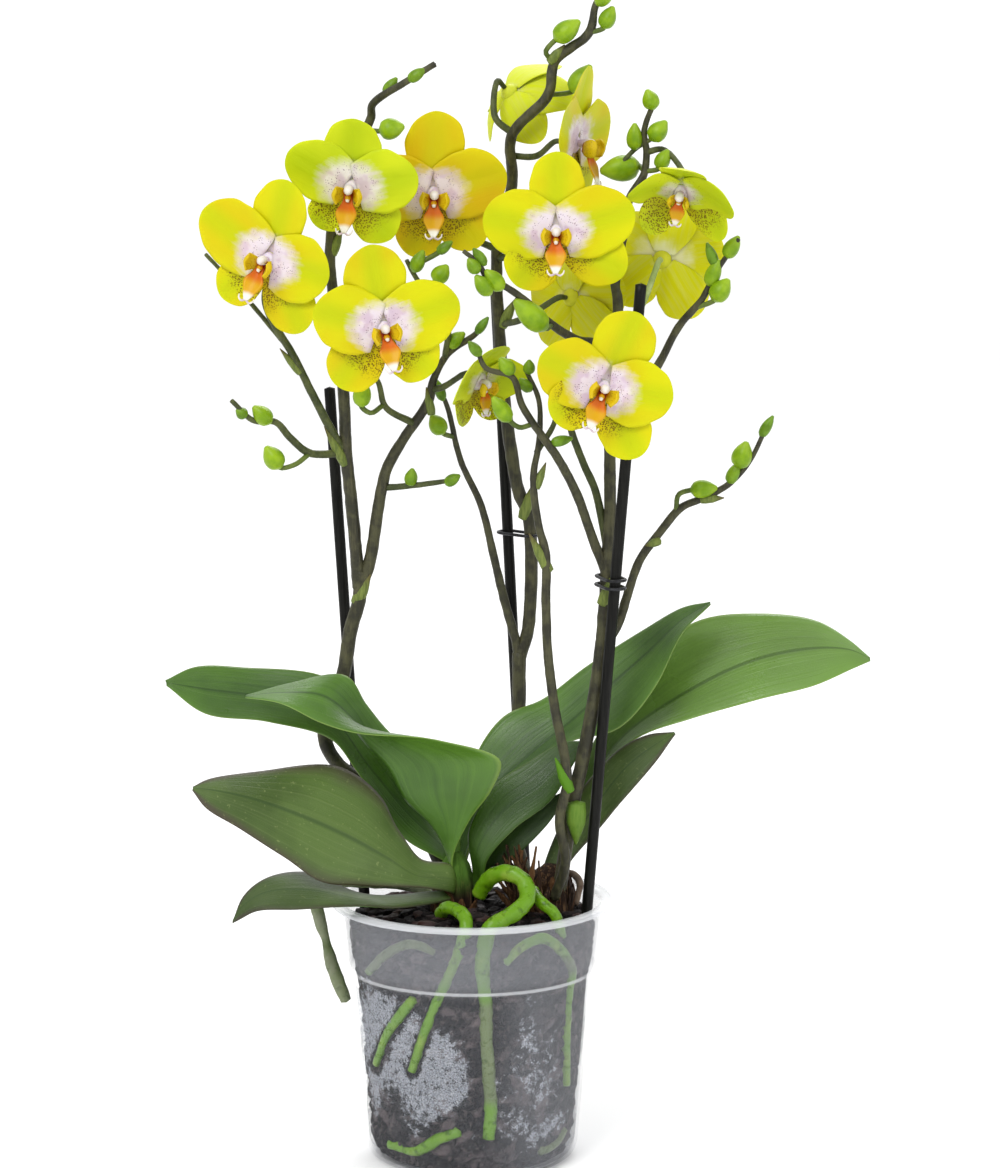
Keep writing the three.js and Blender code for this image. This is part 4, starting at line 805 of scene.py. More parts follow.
# ---- blooms
# Waxy five-part flowers: three sepals behind, two broad petals in front. They are yellow with a
# white-lilac middle and fine purple-brown dots that follow the veins towards the lip.
BLOOMS = {
    "bloom_1": dict(
        at=[-84, -10, 384], turn=-22, tilt=4,
        tepals=[[19, 36, 24], [-125, 26, 20], [151, 33, 23], [-52, 34, 29], [100, 30, 29]],
    ),
    "bloom_2": dict(
        at=[-50, 3, 413], turn=-8, tilt=14, look="petal_green",
        tepals=[[6, 31, 24], [-137, 22, 18], [142, 27, 21], [-56, 30, 26], [76, 30, 27]],
    ),
    "bloom_3": dict(
        at=[-36, -26, 357], turn=10, tilt=2,
        tepals=[[-10, 36, 26], [-138, 30, 24], [130, 27, 23], [-72, 31, 28], [68, 33, 29]],
    ),
    "bloom_4": dict(
        at=[-16, 15, 409], turn=4, tilt=6, look="petal_orange",
        tepals=[[2, 36, 25], [-160, 27, 20], [136, 29, 21], [-75, 30, 28], [70, 32, 29]],
    ),
    "bloom_5": dict(
        at=[35, -8, 395], turn=0, tilt=0,
        tepals=[[1, 34, 23], [-142, 27, 23], [120, 33, 23], [-75, 31, 29], [72, 34, 29]],
    ),
    "bloom_6": dict(
        at=[54, -30, 333], turn=4, tilt=3,
        tepals=[[24, 35, 26], [-116, 24, 22], [152, 32, 22], [-60, 30, 28], [97, 29, 28]],
    ),
    "bloom_7": dict(
        at=[16, 46, 450], turn=130, tilt=38, cup=15, white=0.5, lip=0.72, look="petal_green",
        tepals=[[0, 25, 21], [-130, 22, 19], [130, 22, 19], [-70, 24, 23], [70, 24, 23]],
    ),
    "bloom_8": dict(
        at=[43, 21, 430], turn=68, tilt=6,
        tepals=[[2, 33, 24], [-140, 26, 20], [140, 26, 20], [-62, 31, 26], [74, 30, 28]],
    ),
    "bloom_9": dict(
        at=[87, -1, 412], turn=-16, tilt=40, cup=12, white=0.5, lip=0.72, look="petal_green",
        tepals=[[14, 24, 20], [-130, 20, 17], [132, 24, 19], [-62, 21, 20], [86, 25, 22]],
    ),
    "bloom_10": dict(
        at=[80, 17, 382], turn=168, tilt=0,
        tepals=[[-12, 27, 22], [-150, 28, 22], [128, 27, 22], [-80, 26, 27], [62, 26, 27]],
    ),
    "bloom_11": dict(
        at=[42, 27, 365], turn=140, tilt=4, white=0.6,
        tepals=[[6, 26, 22], [-134, 25, 22], [138, 26, 22], [-84, 26, 27], [82, 26, 27]],
    ),
    "bloom_12": dict(
        at=[3, -3, 333], turn=46, tilt=22, cup=8, white=0.4, lip=0.72, look="petal_green",
        tepals=[[0, 20, 17], [-140, 20, 16], [140, 18, 15], [-82, 22, 21], [82, 20, 20]],
    ),
}
SEPAL_OFFSET = -0.5
PETAL_OFFSET = 1.2
TEPAL_ROOT = 2.6
TEPAL_CUP = 3.2
RECEPTACLE_DEPTH = 3.4
TEPAL_ROWS = 34
TEPAL_COLUMNS = 21
HEART_PROFILE = ((-1.8, 1.2), (-1.7, 2.6), (-0.6, 3.9), (0.8, 3.9), (2.2, 2.8), (3.4, 1.5))
HEART_SIDES = 20


def bloom_turn(turn, tilt):
    """The turning of a bloom that faces the front: about the upright first, then its nod."""
    upright = Matrix.Rotation(math.radians(turn), 3, "Z")
    return np.array(upright @ Matrix.Rotation(math.radians(tilt), 3, "X"))


def moved(points, bloom):
    turned_points = np.asarray(points, float) @ bloom_turn(bloom["turn"], bloom["tilt"]).T
    return turned_points + np.array(bloom["at"], float)


def tepal_share(t, s, petal):
    """Share of the full width on the side s, from 0, the foot, to 1, the tip."""
    foot = 0.74 if petal else 0.4
    widest = (0.43 - 0.05 * s) if petal else 0.56
    rise = foot + (1 - foot) * np.sin(np.minimum(t / widest, 1) * math.pi / 2)
    past = np.clip((t - widest) / (1 - widest), 0, 1)
    return rise * (1.0001 - past ** (2.0 if petal else 2.2)) ** 0.56


def petal_look(name, main, deep, core, white):
    petal = Look(
        name, Roughness=0.5, Specular_IOR_Level=0.16, Subsurface_Weight=0.15,
        Subsurface_Radius=(0.004, 0.003, 0.001), Subsurface_Scale=0.5,
    )
    reach, across, front, dense = (petal.value(part) for part in ("reach", "across", "front", "dense"))
    ray = petal.vector(petal.times(across, 0.8), petal.times(reach, 0.04), petal.value("seed"))
    veins = petal.noise(1.0, 3, 0.6, ray)
    distance = petal.plus(reach, petal.times(petal.plus(veins, -0.5), 5.0))
    distance = petal.plus(distance, petal.times(petal.plus(petal.noise(240, 3), -0.5), 7.0))
    past_pale = petal.maths("SUBTRACT", distance, petal.value("pale"))
    heart = petal.fade(past_pale, 4.5, -4.0)
    dotted = petal.fade(petal.maths("SUBTRACT", distance, petal.value("dotted")), 3.0, -3.0)
    dots = petal.fade(petal.plus(petal.cells(1350), petal.times(dense, -0.2)), 0.3, 0.18)
    sparse = petal.fade(petal.plus(petal.noise(300, 2), petal.times(dense, 0.25)), 0.5, 0.58)
    spots = petal.times(petal.times(dots, sparse), petal.times(dotted, front))
    base = petal.coats(
        petal.mix(petal.fade(petal.noise(34, 2), 0.36, 0.68), main, deep),
        (petal.maths("ABSOLUTE", across), 8.0, 1.0, 0.7, core),
        (veins, 0.46, 0.32, 0.1, deep),
        (past_pale, 4.5, -4.0, front, white),
        (distance, 22.0, 6.0, petal.times(dense, 0.55), "ad8c00"),
        (petal.noise(170, 2), 0.42, 0.62, petal.times(petal.times(heart, front), 0.45), "b48fae"),
    )
    base = petal.mix(petal.times(spots, 0.85), base, petal.mix(heart, "5e3d06", "6d4560"))
    back = petal.coats(main, (veins, 0.4, 0.66, 0.4, "c6c85c"), (past_pale, 2.0, -5.0, 0.8, "d9d8b4"))
    petal.paint(petal.mix(petal.fade(front, 0.2, 0.8), back, base))
    petal.bump(petal.plus(veins, petal.times(petal.noise(1600, 2), 0.25)), 0.0004, 0.3)
    return petal.material


petal_finish = {
    "petal_yellow": petal_look("petal_yellow", "cac900", "c8b900", "b2bf00", "dfd5df"),
    "petal_green": petal_look("petal_green", "c8d218", "b4c40c", "aabe08", "dedad3"),
    "petal_orange": petal_look("petal_orange", "ccbe00", "c8aa00", "c0ba00", "dccfd4"),
}


def add_tepal(skin, bloom, tepal, index, seed):
    angle, length, width = math.radians(tepal[0]), tepal[1], tepal[2]
    is_petal = index > 2
    outward = np.array([math.sin(angle), 0, math.cos(angle)])
    sideways = np.array([math.cos(angle), 0, -math.sin(angle)])
    t = np.sin(np.linspace(0, math.pi / 2, TEPAL_ROWS))[:, None]
    s = np.linspace(1, -1, TEPAL_COLUMNS)[None, :]
    share = tepal_share(t, s * math.copysign(1, tepal[0]), is_petal)
    lean = 0.05 * math.sin(seed * 3.7)
    forward = (PETAL_OFFSET if is_petal else SEPAL_OFFSET) + bloom.get("cup", TEPAL_CUP) * t**2
    forward = forward + 0.8 * s**2 * share
    forward = forward + 0.6 * np.sin(7 * t + seed + 1.6 * np.sign(s)) * np.abs(s) ** 3 * share
    forward = forward + 0.5 * np.sin(3.1 * s + 0.9 * seed) * np.sin(math.pi * t) * share
    forward = forward - 0.35 * np.exp(-((s / 0.12) ** 2)) * np.sin(math.pi * t)
    forward = forward + lean * s * share * width / 2
    notch = 1 - 0.02 * np.exp(-((s / 0.3) ** 2)) * t**6
    out = (TEPAL_ROOT + (length - TEPAL_ROOT) * t) * notch
    ragged = 0.035 * np.sin(9 * t * np.sign(s) + 2.1 * seed) + 0.02 * np.sin(23 * t + 1.3 * seed)
    side = share * width * s / 2 * (1 + ragged * t)
    grid = out[..., None] * outward + side[..., None] * sideways - forward[..., None] * (0, 1, 0)
    half = 0.42 * np.clip(1 - np.abs(s) ** 5, 0.25, 1) * np.clip(1 - t**14, 0.3, 1)
    pale, dotted, dense = (13, 13, 0.1) if is_petal else (8.5, 9, 0) if index == 0 else (3.5, 19, 1)
    reach = np.hypot(out, side * (1.3 if is_petal else 1))
    add_sheet(
        skin, moved(grid, bloom), half, reach=reach, across=side, seed=seed,
        pale=pale * bloom.get("white", 1), dotted=dotted, dense=dense,
    )


for number, (name, bloom) in enumerate(BLOOMS.items()):
    bloom_skin = Skin()
    for index, tepal in enumerate(bloom["tepals"]):
        add_tepal(bloom_skin, bloom, tepal, index, number * 5 + index)
    heart_rings = turned([(radius, depth) for depth, radius in HEART_PROFILE], HEART_SIDES)[..., (0, 2, 1)]
    last_ring = (len(HEART_PROFILE) - 1) * HEART_SIDES
    ends = [tuple(range(HEART_SIDES)), tuple(range(last_ring, last_ring + HEART_SIDES))]
    heart_faces = grid_faces(len(HEART_PROFILE), HEART_SIDES, around=True) + ends
    # The back of the middle, where the stalk joins, is as green as the stalk.
    ahead = (heart_rings[..., 1].ravel() < 0.5).astype(float)
    heart = moved(heart_rings, bloom)
    bloom_skin.add(heart, heart_faces, front=ahead, reach=40 - 39 * ahead, pale=9, dotted=-9)
    finish = bloom.get("look", "petal_yellow")
    grown = bloom_skin.piece(name + "_tepals", petal_finish[finish])
    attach(grown, "root")
    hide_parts(name)

# ---- lips
# The third petal, made into a lip: two upright yellow side lobes, an orange-red throat and a pointed
# middle lobe with a white tip. Above it stands the column, a white rounded nose.
lip = Look("lip", Roughness=0.42, Specular_IOR_Level=0.25)
zone, along_lip = lip.value("zone"), lip.value("along")
lip_dots = lip.times(lip.fade(lip.cells(1300), 0.36, 0.22), 0.5)
side_colour = lip.mix(lip.fade(along_lip, 0.0, 0.22), "b44c02", "d2b40c")
side_colour = lip.coats(side_colour, (along_lip, 1.0, 0.5, lip_dots, "7a4406"))
middle_colour = lip.coats(
    lip.mix(lip.fade(along_lip, 0.05, 0.32), "962802", "c86000"),
    (along_lip, 0.34, 0.56, 1, "cc9a00"),
    (along_lip, 0.72, 0.86, 1, "e2ded2"),
)
column_colour = lip.mix(lip.fade(along_lip, 0.1, 0.6), "c4aebc", "e0d9d4")
lip.paint(lip.coats(column_colour, (zone, 0.3, 0.7, 1, side_colour), (zone, 1.3, 1.7, 1, middle_colour)))
lip.bump(lip.noise(900, 3), 0.0003, 0.3)

SIDE_LOBE = [
    [(0.9, -4.2, -2.6), (1.6, -4.6, -0.6), (1.2, -4.6, 0.8)],
    [(3.6, -7.0, -4.2), (5.0, -7.2, -0.4), (3.8, -7.0, 2.2)],
    [(4.6, -9.6, -4.6), (6.2, -10.0, -0.4), (4.8, -9.6, 3.0)],
    [(3.8, -11.4, -3.8), (5.0, -12.0, -0.8), (4.2, -11.6, 1.8)],
]
MIDDLE_LOBE = [
    [(-1.5, -4.8, -0.6), (0, -4.6, -1.6), (1.5, -4.8, -0.6)],
    [(-2.2, -7.2, -4.0), (0, -6.8, -4.6), (2.2, -7.2, -4.0)],
    [(-4.4, -9.6, -8.2), (0, -8.6, -8.8), (4.4, -9.6, -8.2)],
    [(-2.6, -11.4, -12.4), (0, -10.8, -12.2), (2.6, -11.4, -12.4)],
    [(-0.7, -12.8, -15.8), (0, -12.6, -15.6), (0.7, -12.8, -15.8)],
]
LIP_HORN = [(0.2, -12.4, -15.4), (1.9, -12.9, -16.2), (3.2, -12.6, -15.2), (3.5, -12.1, -14.1)]
LOBE_ROWS, LOBE_COLUMNS = 14, 11
TONGUE_ROWS, TONGUE_COLUMNS = 20, 9
CALLUS = [(0, -5.2, -1.2), (0, -6.6, -2.2), (0, -7.8, -3.6)]
COLUMN = [(0, -2, 0.4), (0, -4, 0.8), (0, -6.2, 1.2), (0, -8, 1.0), (0, -9.1, 0.5)]


def smooth_grid(rows, row_count, column_count):
    """A finer grid on smooth curves through the rows and columns of a coarse one."""
    along = np.array([smooth_path(column, row_count) for column in zip(*rows)])
    return np.array([smooth_path(along[:, row], column_count) for row in range(row_count)])


def leaning(points, bloom):
    """The points turned about the bloom's middle as far as its back sepal leans, and put in place."""
    turn_in_face = np.array(Matrix.Rotation(math.radians(bloom["tepals"][0][0]), 3, "Y"))
    return moved(np.asarray(points, float) @ turn_in_face.T * bloom.get("lip", 1), bloom)


for name, bloom in BLOOMS.items():
    lip_skin = Skin()
    for mirror in (1, -1):
        lobe = smooth_grid(SIDE_LOBE, LOBE_ROWS, LOBE_COLUMNS) * (mirror, 1, 1)
        add_sheet(lip_skin, leaning(lobe, bloom), 0.32, zone=1, along=np.linspace(0, 1, LOBE_ROWS)[:, None])
    tongue = smooth_grid(MIDDLE_LOBE, TONGUE_ROWS, TONGUE_COLUMNS)
    add_sheet(lip_skin, leaning(tongue, bloom), 0.36, zone=2, along=np.linspace(0, 1, TONGUE_ROWS)[:, None])
    for mirror in (1, -1):
        horn = leaning(np.array(LIP_HORN) * (mirror, 1, 1), bloom).tolist()
        add_tube(lip_skin, horn, [0.5, 0.4, 0.25], sides=8, step=0.6, zone=0)
    callus, column = leaning(CALLUS, bloom).tolist(), leaning(COLUMN, bloom).tolist()
    add_tube(lip_skin, callus, [0.8, 1.3, 0.7], sides=10, step=0.5, zone=2)
    add_tube(lip_skin, column, [1.5, 1.6, 1.9, 1.85, 1.0], sides=16, step=0.5, zone=0)
    lip_name = name.replace("bloom", "lip")
    grown = lip_skin.piece(lip_name + "_column", lip.material)
    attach(grown, "root")
    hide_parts(lip_name)

# ---- stems
# Flower stems with their twigs, the thin stalks of the blooms, closed buds and the small scales that
# wrap each node. They are olive to purple-brown, and greener at the nodes and towards the buds.
STALK_GAP = 0.3
BUD_LEVELS = 9
BUD_SIDES = 22


def stem(points, radii, fresh=None):
    return ("stem", points, radii, fresh)


def stalk(points, name, bend, radii=(1.5, 1.1), fresh=None):
    """A bloom's stalk, which bends towards the bloom this far behind it and ends just short of it."""
    ends = [(0, RECEPTACLE_DEPTH + bend, 0), (0, RECEPTACLE_DEPTH + STALK_GAP, 0)]
    return stem(points + moved(ends, BLOOMS[name]).tolist(), radii, fresh)


def bud(foot, tip, width, twig=()):
    return ("bud", foot, tip, width, twig)


def bract(foot, tip, width, fresh=0):
    return ("bract", foot, tip, width, fresh)


SPIKES = {
    "spike_left": [
        stem([[-12, 6, 122], [-22, 13, 140], [-42, 15, 156], [-57, 17, 166], [-63, 20, 177],
          [-61, 21, 189], [-55, 20, 204], [-52, 20, 222], [-48, 20, 237], [-47, 20, 249]], [3, 3, 3]),
        stem([[-48, 20, 242], [-51, 20, 279], [-53, 19, 299], [-54, 16, 327], [-57, 14, 357],
          [-59, 13, 390], [-53, 16, 416], [-42, 17, 441], [-41, 14, 447], [-28, 8, 456],
          [-15, 6, 464]], [2.8, 2.5, 2.2, 1.8, 1.3]),
        stem([[-48, 20, 242], [-44, 20, 251], [-39, 19, 280], [-36, 18, 293], [-29, 15, 306],
          [-18, 11, 323], [-16, 10, 332], [-10, 9, 343], [2, 6, 352], [5, 5, 357]],
          [2.8, 2.5, 2.1, 1.5, 1]),
        stalk([[-54, 19, 300], [-62, 12, 316], [-74, 4, 342], [-86, 2, 366]],
          "bloom_1", 4, [1.9, 1.6, 1.1]),
        stalk([[-53, 16, 420]], "bloom_2", 5), stalk([[-55, 15, 340], [-50, 2, 348]], "bloom_3", 10),
        stalk([[-16, 10, 328], [-12, 9, 329]], "bloom_12", 4),
        stem([[-53, 20, 300], [-68, 10, 301], [-76, 6, 308], [-82, 3, 315], [-91, 0, 316],
          [-100, -4, 325]], [1.8, 1.5, 1]),
        stem([[-37, 19, 285], [-22, 14, 287], [-7, 8, 290]], [1.5, 1]),
        stem([[-24, 13, 313], [-36, 6, 321], [-39, 2, 332], [-46, -2, 343]], [1.6, 0.9]),
        stem([[-11, 9, 342], [-10, 5, 354], [-17, 4, 366], [-24, 4, 377], [-27, 3, 383]], [1.5, 0.9]),
        stem([[-77, 3, 347], [-97, 8, 370], [-111, 8, 385]], [1.1, 0.8]),
        bud([-36, 13, 451], [-31, 12, 458], 5), bud([-26, 7, 457], [-19, 6, 462], 5),
        bud([-38, 10, 436], [-28, 8, 438], 9, [[-43, 17, 436]]),
        bud([-80, 1, 296], [-86, 0, 305], 8.5, [[-68, 10, 301], [-74, 4, 297]]),
        bud([-84, 1, 315], [-91, -1, 322], 7.5), bud([-94, -1, 318], [-98, -3, 321], 5),
        bud([-26, 15.3, 286.5], [-25, 13, 294], 5.5), bud([-11, 9, 288], [-5, 7, 292], 5),
        bud([-46, 0, 322], [-45, -2, 333], 7.5, [[-37, 5, 322], [-42, 2, 319]]),
        bud([-45, -2, 340], [-47, -3, 348], 6), bud([-10, 9, 346], [-3, 8, 352], 6.5),
        bud([-24, 3, 378], [-20, 2, 387], 6), bud([-15, 1, 374], [-10, 0, 381], 7.5, [[-22, 4, 373]]),
        bud([-14, 1, 386], [-8, 0, 391], 4.5, [[-25, 3, 380]]), bud([2, 5, 352], [7, 4, 359], 4),
        bract([-49, 20, 236], [-43, 18, 248], 6.5), bract([-54, 18, 296], [-62, 13, 312], 5),
        bract([-72, 5, 336], [-80, 3, 346], 4), bract([-58, 13, 385], [-54, 11, 396], 5),
        bract([-17, 11, 318], [-19, 9, 329], 4.5),
    ],
    "spike_middle": [
        stem([[25, 9, 113], [19, 21, 130], [15, 31, 150], [18, 34, 170], [20, 35, 188], [20, 36, 211]],
          [3, 3]),
        stem([[20, 36, 207], [19, 36, 215], [14, 36, 233], [9, 35, 254], [4, 33, 275], [-5, 28, 296],
          [-10, 22, 318], [-13, 20, 326]], [2.2, 1.9, 1.4, 0.9]),
        stem([[20, 36, 208], [24, 37, 222], [24, 38, 271], [20, 39, 280], [15, 40, 310], [12, 40, 342],
          [11, 40, 388], [17, 37, 412], [17, 31, 433], [32, 27, 450], [35, 28, 464], [49, 24, 476],
          [52, 23, 488], [60, 18, 501]], [2.8, 2.8, 2.6, 2.3, 2.1, 1.2]),
        stalk([[17, 31, 434], [10, 32, 440]], "bloom_7", 5, [1.6, 1.1]),
        stalk([[16, 37, 424], [27, 33, 424]], "bloom_8", 5),
        stalk([[11, 40, 384], [0, 33, 390]], "bloom_4", 5, [1.6, 1.1]),
        stalk([[11, 40, 380], [24, 24, 386]], "bloom_5", 8, [1.6, 1.1]),
        stalk([[12, 40, 352], [22, 27, 356]], "bloom_11", 5),
        bud([42, 33, 451], [50, 33, 462], 8.5, [[32, 28, 450]]),
        bud([35, 25, 473], [45, 23, 481], 9, [[34, 28, 464], [31, 26, 468]]),
        bud([55, 22, 478], [59, 21, 487], 7, [[49, 24, 476]]), bud([52, 22, 488], [59, 19, 494], 6.5),
        bud([58, 18, 498], [63, 17, 505.6], 5.5),
        bud([-12, 20, 308], [-17, 18, 316], 7.5, [[-8, 25, 306]]),
        bud([-12, 20, 322], [-15, 19, 331], 4.5), bract([22, 37, 270], [26, 36, 284], 6),
        bract([13, 39, 352], [19, 37, 364], 5.5), bract([33, 27, 464], [39, 26, 471], 5),
    ],
    "spike_thin": [
        stem([[35, -6, 113], [39.5, -12, 131], [37, -13, 148], [40, -15, 165], [39, -17, 176],
          [35, -18, 196], [32, -20, 219], [31, -20, 243], [31, -18, 262], [28, -16, 274],
          [26, -14, 288], [26, -13, 297], [28, -12, 308], [28, -12, 326], [23, -12, 338]],
          [2.2, 2.1, 2, 1.8, 1.4, 0.9]),
        stem([[27, -12, 304], [35, -10, 318], [34, -10, 330]], [1.3, 0.9]),
        bud([25, -12, 330], [20, -12, 335], 5), bud([24, -12, 337], [24, -13, 343], 5),
        bud([34, -10, 326], [35, -11, 335], 5), bract([41, -15, 162], [35, -18, 176], 5.5, 1),
        bract([32, -18, 256], [24, -18, 271], 5.5), bract([27, -13, 290], [31, -12, 300], 4.5),
    ],
    "spike_right": [
        stem([[37, 0, 114], [42, -7, 150], [46, -8, 170], [50, -7.5, 190], [54, -6, 216],
          [56, -5, 240], [57, -3, 258], [58, -2, 278], [58, 0, 310], [61, 3, 341], [61, 5, 366],
          [60, 6, 373], [64, 8, 397], [66, 11, 408], [72, 14, 418], [73, 15, 427], [72, 14, 436],
          [76, 13, 448]], [3, 3, 2.8, 2.4, 2, 1.6, 1.1]),
        stem([[56, -3, 253], [51, -5, 266], [44, -9, 286], [35, -18, 304], [28, -20, 314],
          [21, -21, 325], [17, -23, 337], [6, -24, 341], [2, -24, 350]], [2.1, 1.9, 1.4, 0.9]),
        stalk([[57, -2, 261], [52, 0, 286], [46, 0, 300], [41, -2, 316], [44, -10, 329]],
          "bloom_6", 4, [1.8, 1.5, 1.1]),
        stem([[54, -6, 218], [62, 0, 231], [66, 4, 243], [71, 8, 256], [79, 9, 267], [88, 8, 278],
          [96, 6, 282], [107, 4, 288], [116, 2, 298], [124, 0, 315]], [2.2, 1.9, 1.8, 1.4, 0.9]),
        stem([[58, 0, 310], [69, 8, 325], [78, 9, 338], [87, 9, 355], [96, 6, 366], [102, 4, 378],
          [111, 0, 392]], [2.1, 1.8, 1.5, 0.9]),
        stalk([[73, 15, 427], [80, 16, 428]], "bloom_9", 5, [1.4, 1.1]),
        stalk([[61, 3, 352], [70, 4, 362]], "bloom_10", 5, [1.5, 1.1], 1.9),
        stem([[61, 14, 420], [68, 15, 428], [76, 14, 433]], [1.1, 0.9]),
        bud([70, 20, 421], [54, 16, 419], 11, [[72, 14, 419]]), bud([68, 15, 428], [68, 13, 439], 6.5),
        bud([75, 13, 432], [81, 12, 440], 8), bud([78, 14, 420], [82, 14, 428], 6.5, [[72, 14, 419]]),
        bud([76, 13, 445], [73, 12, 453], 7), bud([33, -19, 309], [42, -18, 311], 4.5),
        bud([17, -22, 338], [12, -24, 345], 6.5),
        bud([16, -24, 319], [9, -26, 329], 7, [[25, -20, 317], [20, -22, 316]]),
        bud([4, -24, 346], [-1, -25, 352], 4.5),
        bud([92, 5, 286], [103, 4, 287], 7.5, [[86, 8, 277], [87, 6, 284]]),
        bud([108, 4, 289], [112, 2, 298], 5.5), bud([112, 2, 296], [115, 0, 307], 8.5),
        bud([121, 1, 309], [126, 0, 318], 4.5), bud([99, 5, 372], [103, 3, 383], 6.5),
        bud([101, 3, 366], [107, 2, 375], 8.5, [[92, 8, 362]]), bud([106, 3, 384], [111, 1, 393], 6.5),
        bud([102, 4, 380], [98, 4, 390], 4.5), bract([44, -10, 154], [44, -9, 137], 10, 0.6),
        bract([55, -6, 240], [61, -8, 254], 6.5), bract([79, 8, 264], [73, 7, 262], 4.5),
        bract([97, 5.5, 282], [106, 3, 283], 4.5),
        stem([[63, 4, 337], [52, 2, 348], [45, -4, 350], [37, -12, 355], [30, -18, 361],
          [22, -23, 369], [12, -28, 376], [7, -30, 378], [3, -32, 385], [-3, -34, 390]],
          [2, 1.8, 1.4, 0.9]),
        bud([31, -22, 357], [18, -26, 369], 10, [[33, -16, 358]]),
        bud([13, -30, 374], [6, -32, 382], 7), bud([8, -32, 372], [2, -34, 380], 6.5),
        bud([3, -33, 381], [-1, -34, 387], 5.5), bud([6, -31, 384], [1, -33, 391], 4.5),
    ],
}

rind = Look("stem", Roughness=0.5, Specular_IOR_Level=0.25)
streak = rind.noise(1.0, 4, 0.65, rind.place((700, 700, 60)))
mottle = rind.noise(140, 4, 0.6)
olive = rind.coats(
    rind.mix(rind.fade(mottle, 0.38, 0.64), "2e2d22", "494832"),
    (streak, 0.52, 0.68, 0.4, "5c583f"),
    (streak, 0.44, 0.32, 0.45, "251d17"),
)
young = rind.mix(rind.fade(mottle, 0.4, 0.62), "4f6222", "687a33")
pale_green = rind.mix(rind.fade(mottle, 0.4, 0.62), "8a9c58", "a9b67c")
freshness = rind.value("fresh")
rind.paint(rind.coats(olive, (freshness, 0, 1, 1, young), (freshness, 1, 2, 1, pale_green)))
rind.paint(rind.fade(mottle, 0.3, 0.7, 0.38, 0.6), "Roughness")
rind.bump(rind.plus(streak, rind.noise(900, 3)), 0.0004, 0.5)

husk = Look("bud", Roughness=0.4, Specular_IOR_Level=0.25)
full_bud = husk.coats(
    husk.mix(husk.fade(husk.noise(180, 3), 0.35, 0.65), "6c9008", "88a814"),
    (husk.value("along"), 0.55, 1.0, 0.5, "9cb834"),
    (husk.value("seam"), 0.5, 1.0, 0.4, "a9bd58"),
)
small_bud = husk.mix(husk.fade(husk.noise(300, 3), 0.4, 0.6), "48690f", "5f8420")
husk.paint(husk.mix(husk.value("grown"), small_bud, full_bud))
husk.bump(husk.noise(1100, 2), 0.0003, 0.3)

scale = Look("bract", Roughness=0.55, Specular_IOR_Level=0.25)
scale_grain = scale.noise(1.0, 3, 0.6, scale.place((1100, 1100, 160)))
scale_colour = scale.coats(
    scale.mix(scale.fade(scale_grain, 0.35, 0.65), "58662e", "737f3c"),
    (scale.value("along"), 0.55, 1.0, 0.75, "543f28"),
)
scale.paint(scale.mix(scale.value("fresh"), scale_colour, "4f7d12"))
scale.bump(scale_grain, 0.0004, 0.5)


def line(start, end, shares):
    """Points at these shares of the way from start to end."""
    start, end = np.array(start, float), np.array(end, float)
    return [(start + (end - start) * share).tolist() for share in shares]


def ribbed(angles, height):
    return 1 + 0.05 * np.cos(3 * angles) - 0.05 * np.exp(-((np.sin(1.5 * angles) / 0.14) ** 2))


def add_bud(skin, foot, tip, width, twig):
    heights = np.linspace(0, 1, BUD_LEVELS)
    shape = 0.3 * (1 - heights) ** 3 + np.sin(math.pi * heights**0.88) ** 0.62 * 0.97
    shape[0], shape[-1] = 0.34, 0.24
    grown = min(1, max(0, (width - 4) / 3))
    path = line(foot, tip, heights)
    add_tube(skin, path, shape * width / 2, sides=BUD_SIDES, step=0.6, look=1, lobes=ribbed, grown=grown)
    if len(twig):
        inside = line(foot, tip, [1.5 / math.dist(foot, tip)])
        add_tube(skin, [*twig, foot, *inside], [1.1, 1.1], sides=10, step=1.2, fresh=0.7)


for name, parts in SPIKES.items():
    spike_skin = Skin()
    for kind, *shape in parts:
        if kind == "stem":
            points, radii, fresh = shape
            thin = max(radii) < 2
            if fresh is None:
                fresh = 0.35 if thin else 0.06
            add_tube(spike_skin, points, radii, sides=12 if thin else 16, wobble=0.1, fresh=fresh)
        elif kind == "bud":
            add_bud(spike_skin, *shape)
        else:
            foot, tip, width, fresh = shape
            path = line(foot, tip, (-0.06, 0.15, 0.45, 0.75, 1))
            radii = [width * share for share in (0.38, 0.44, 0.4, 0.22, 0.05)]
            add_tube(spike_skin, path, radii, step=0.8, look=2, wobble=0.08, fresh=fresh)
    grown = spike_skin.piece(name + "_stems", rind.material, husk.material, scale.material)
    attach(grown, "root")
    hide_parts(name)

# ---- stakes
# Thin dark plastic rods pushed into the mix behind or beside the stems. Their skin is slightly
# ribbed along its length, and their upper ends are rounded off.
STAKES = {
    "stake_left": ((-41.7, 10.5, 40), (-61, 44, 326)),
    "stake_middle": ((25.6, 37, 58), (10, 50, 366)),
    "stake_right": ((43.4, -1.6, 40), (70, -22, 377)),
}
STAKE_RADIUS = 2.35

rod = Look("stake", Roughness=0.45, Specular_IOR_Level=0.15)
rod_grain = rod.noise(1.0, 3, 0.6, rod.place((900, 900, 40)))
rod.paint(rod.mix(rod.fade(rod_grain, 0.35, 0.7), "0a0a08", "181815"))
rod.paint(rod.fade(rod.noise(90, 3), 0.3, 0.7, 0.32, 0.52), "Roughness")
rod.bump(rod_grain, 0.0003, 0.4)
for name, (foot, top) in STAKES.items():
    rod_skin = Skin()
    rod_path = line(foot, top, (0, 0.25, 0.5, 0.75, 0.994))
    add_tube(rod_skin, rod_path, [STAKE_RADIUS] * 5, sides=20, step=4.0)
    made = rod_skin.piece(name + "_rod", rod.material)
    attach(made, "root")
    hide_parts(name)

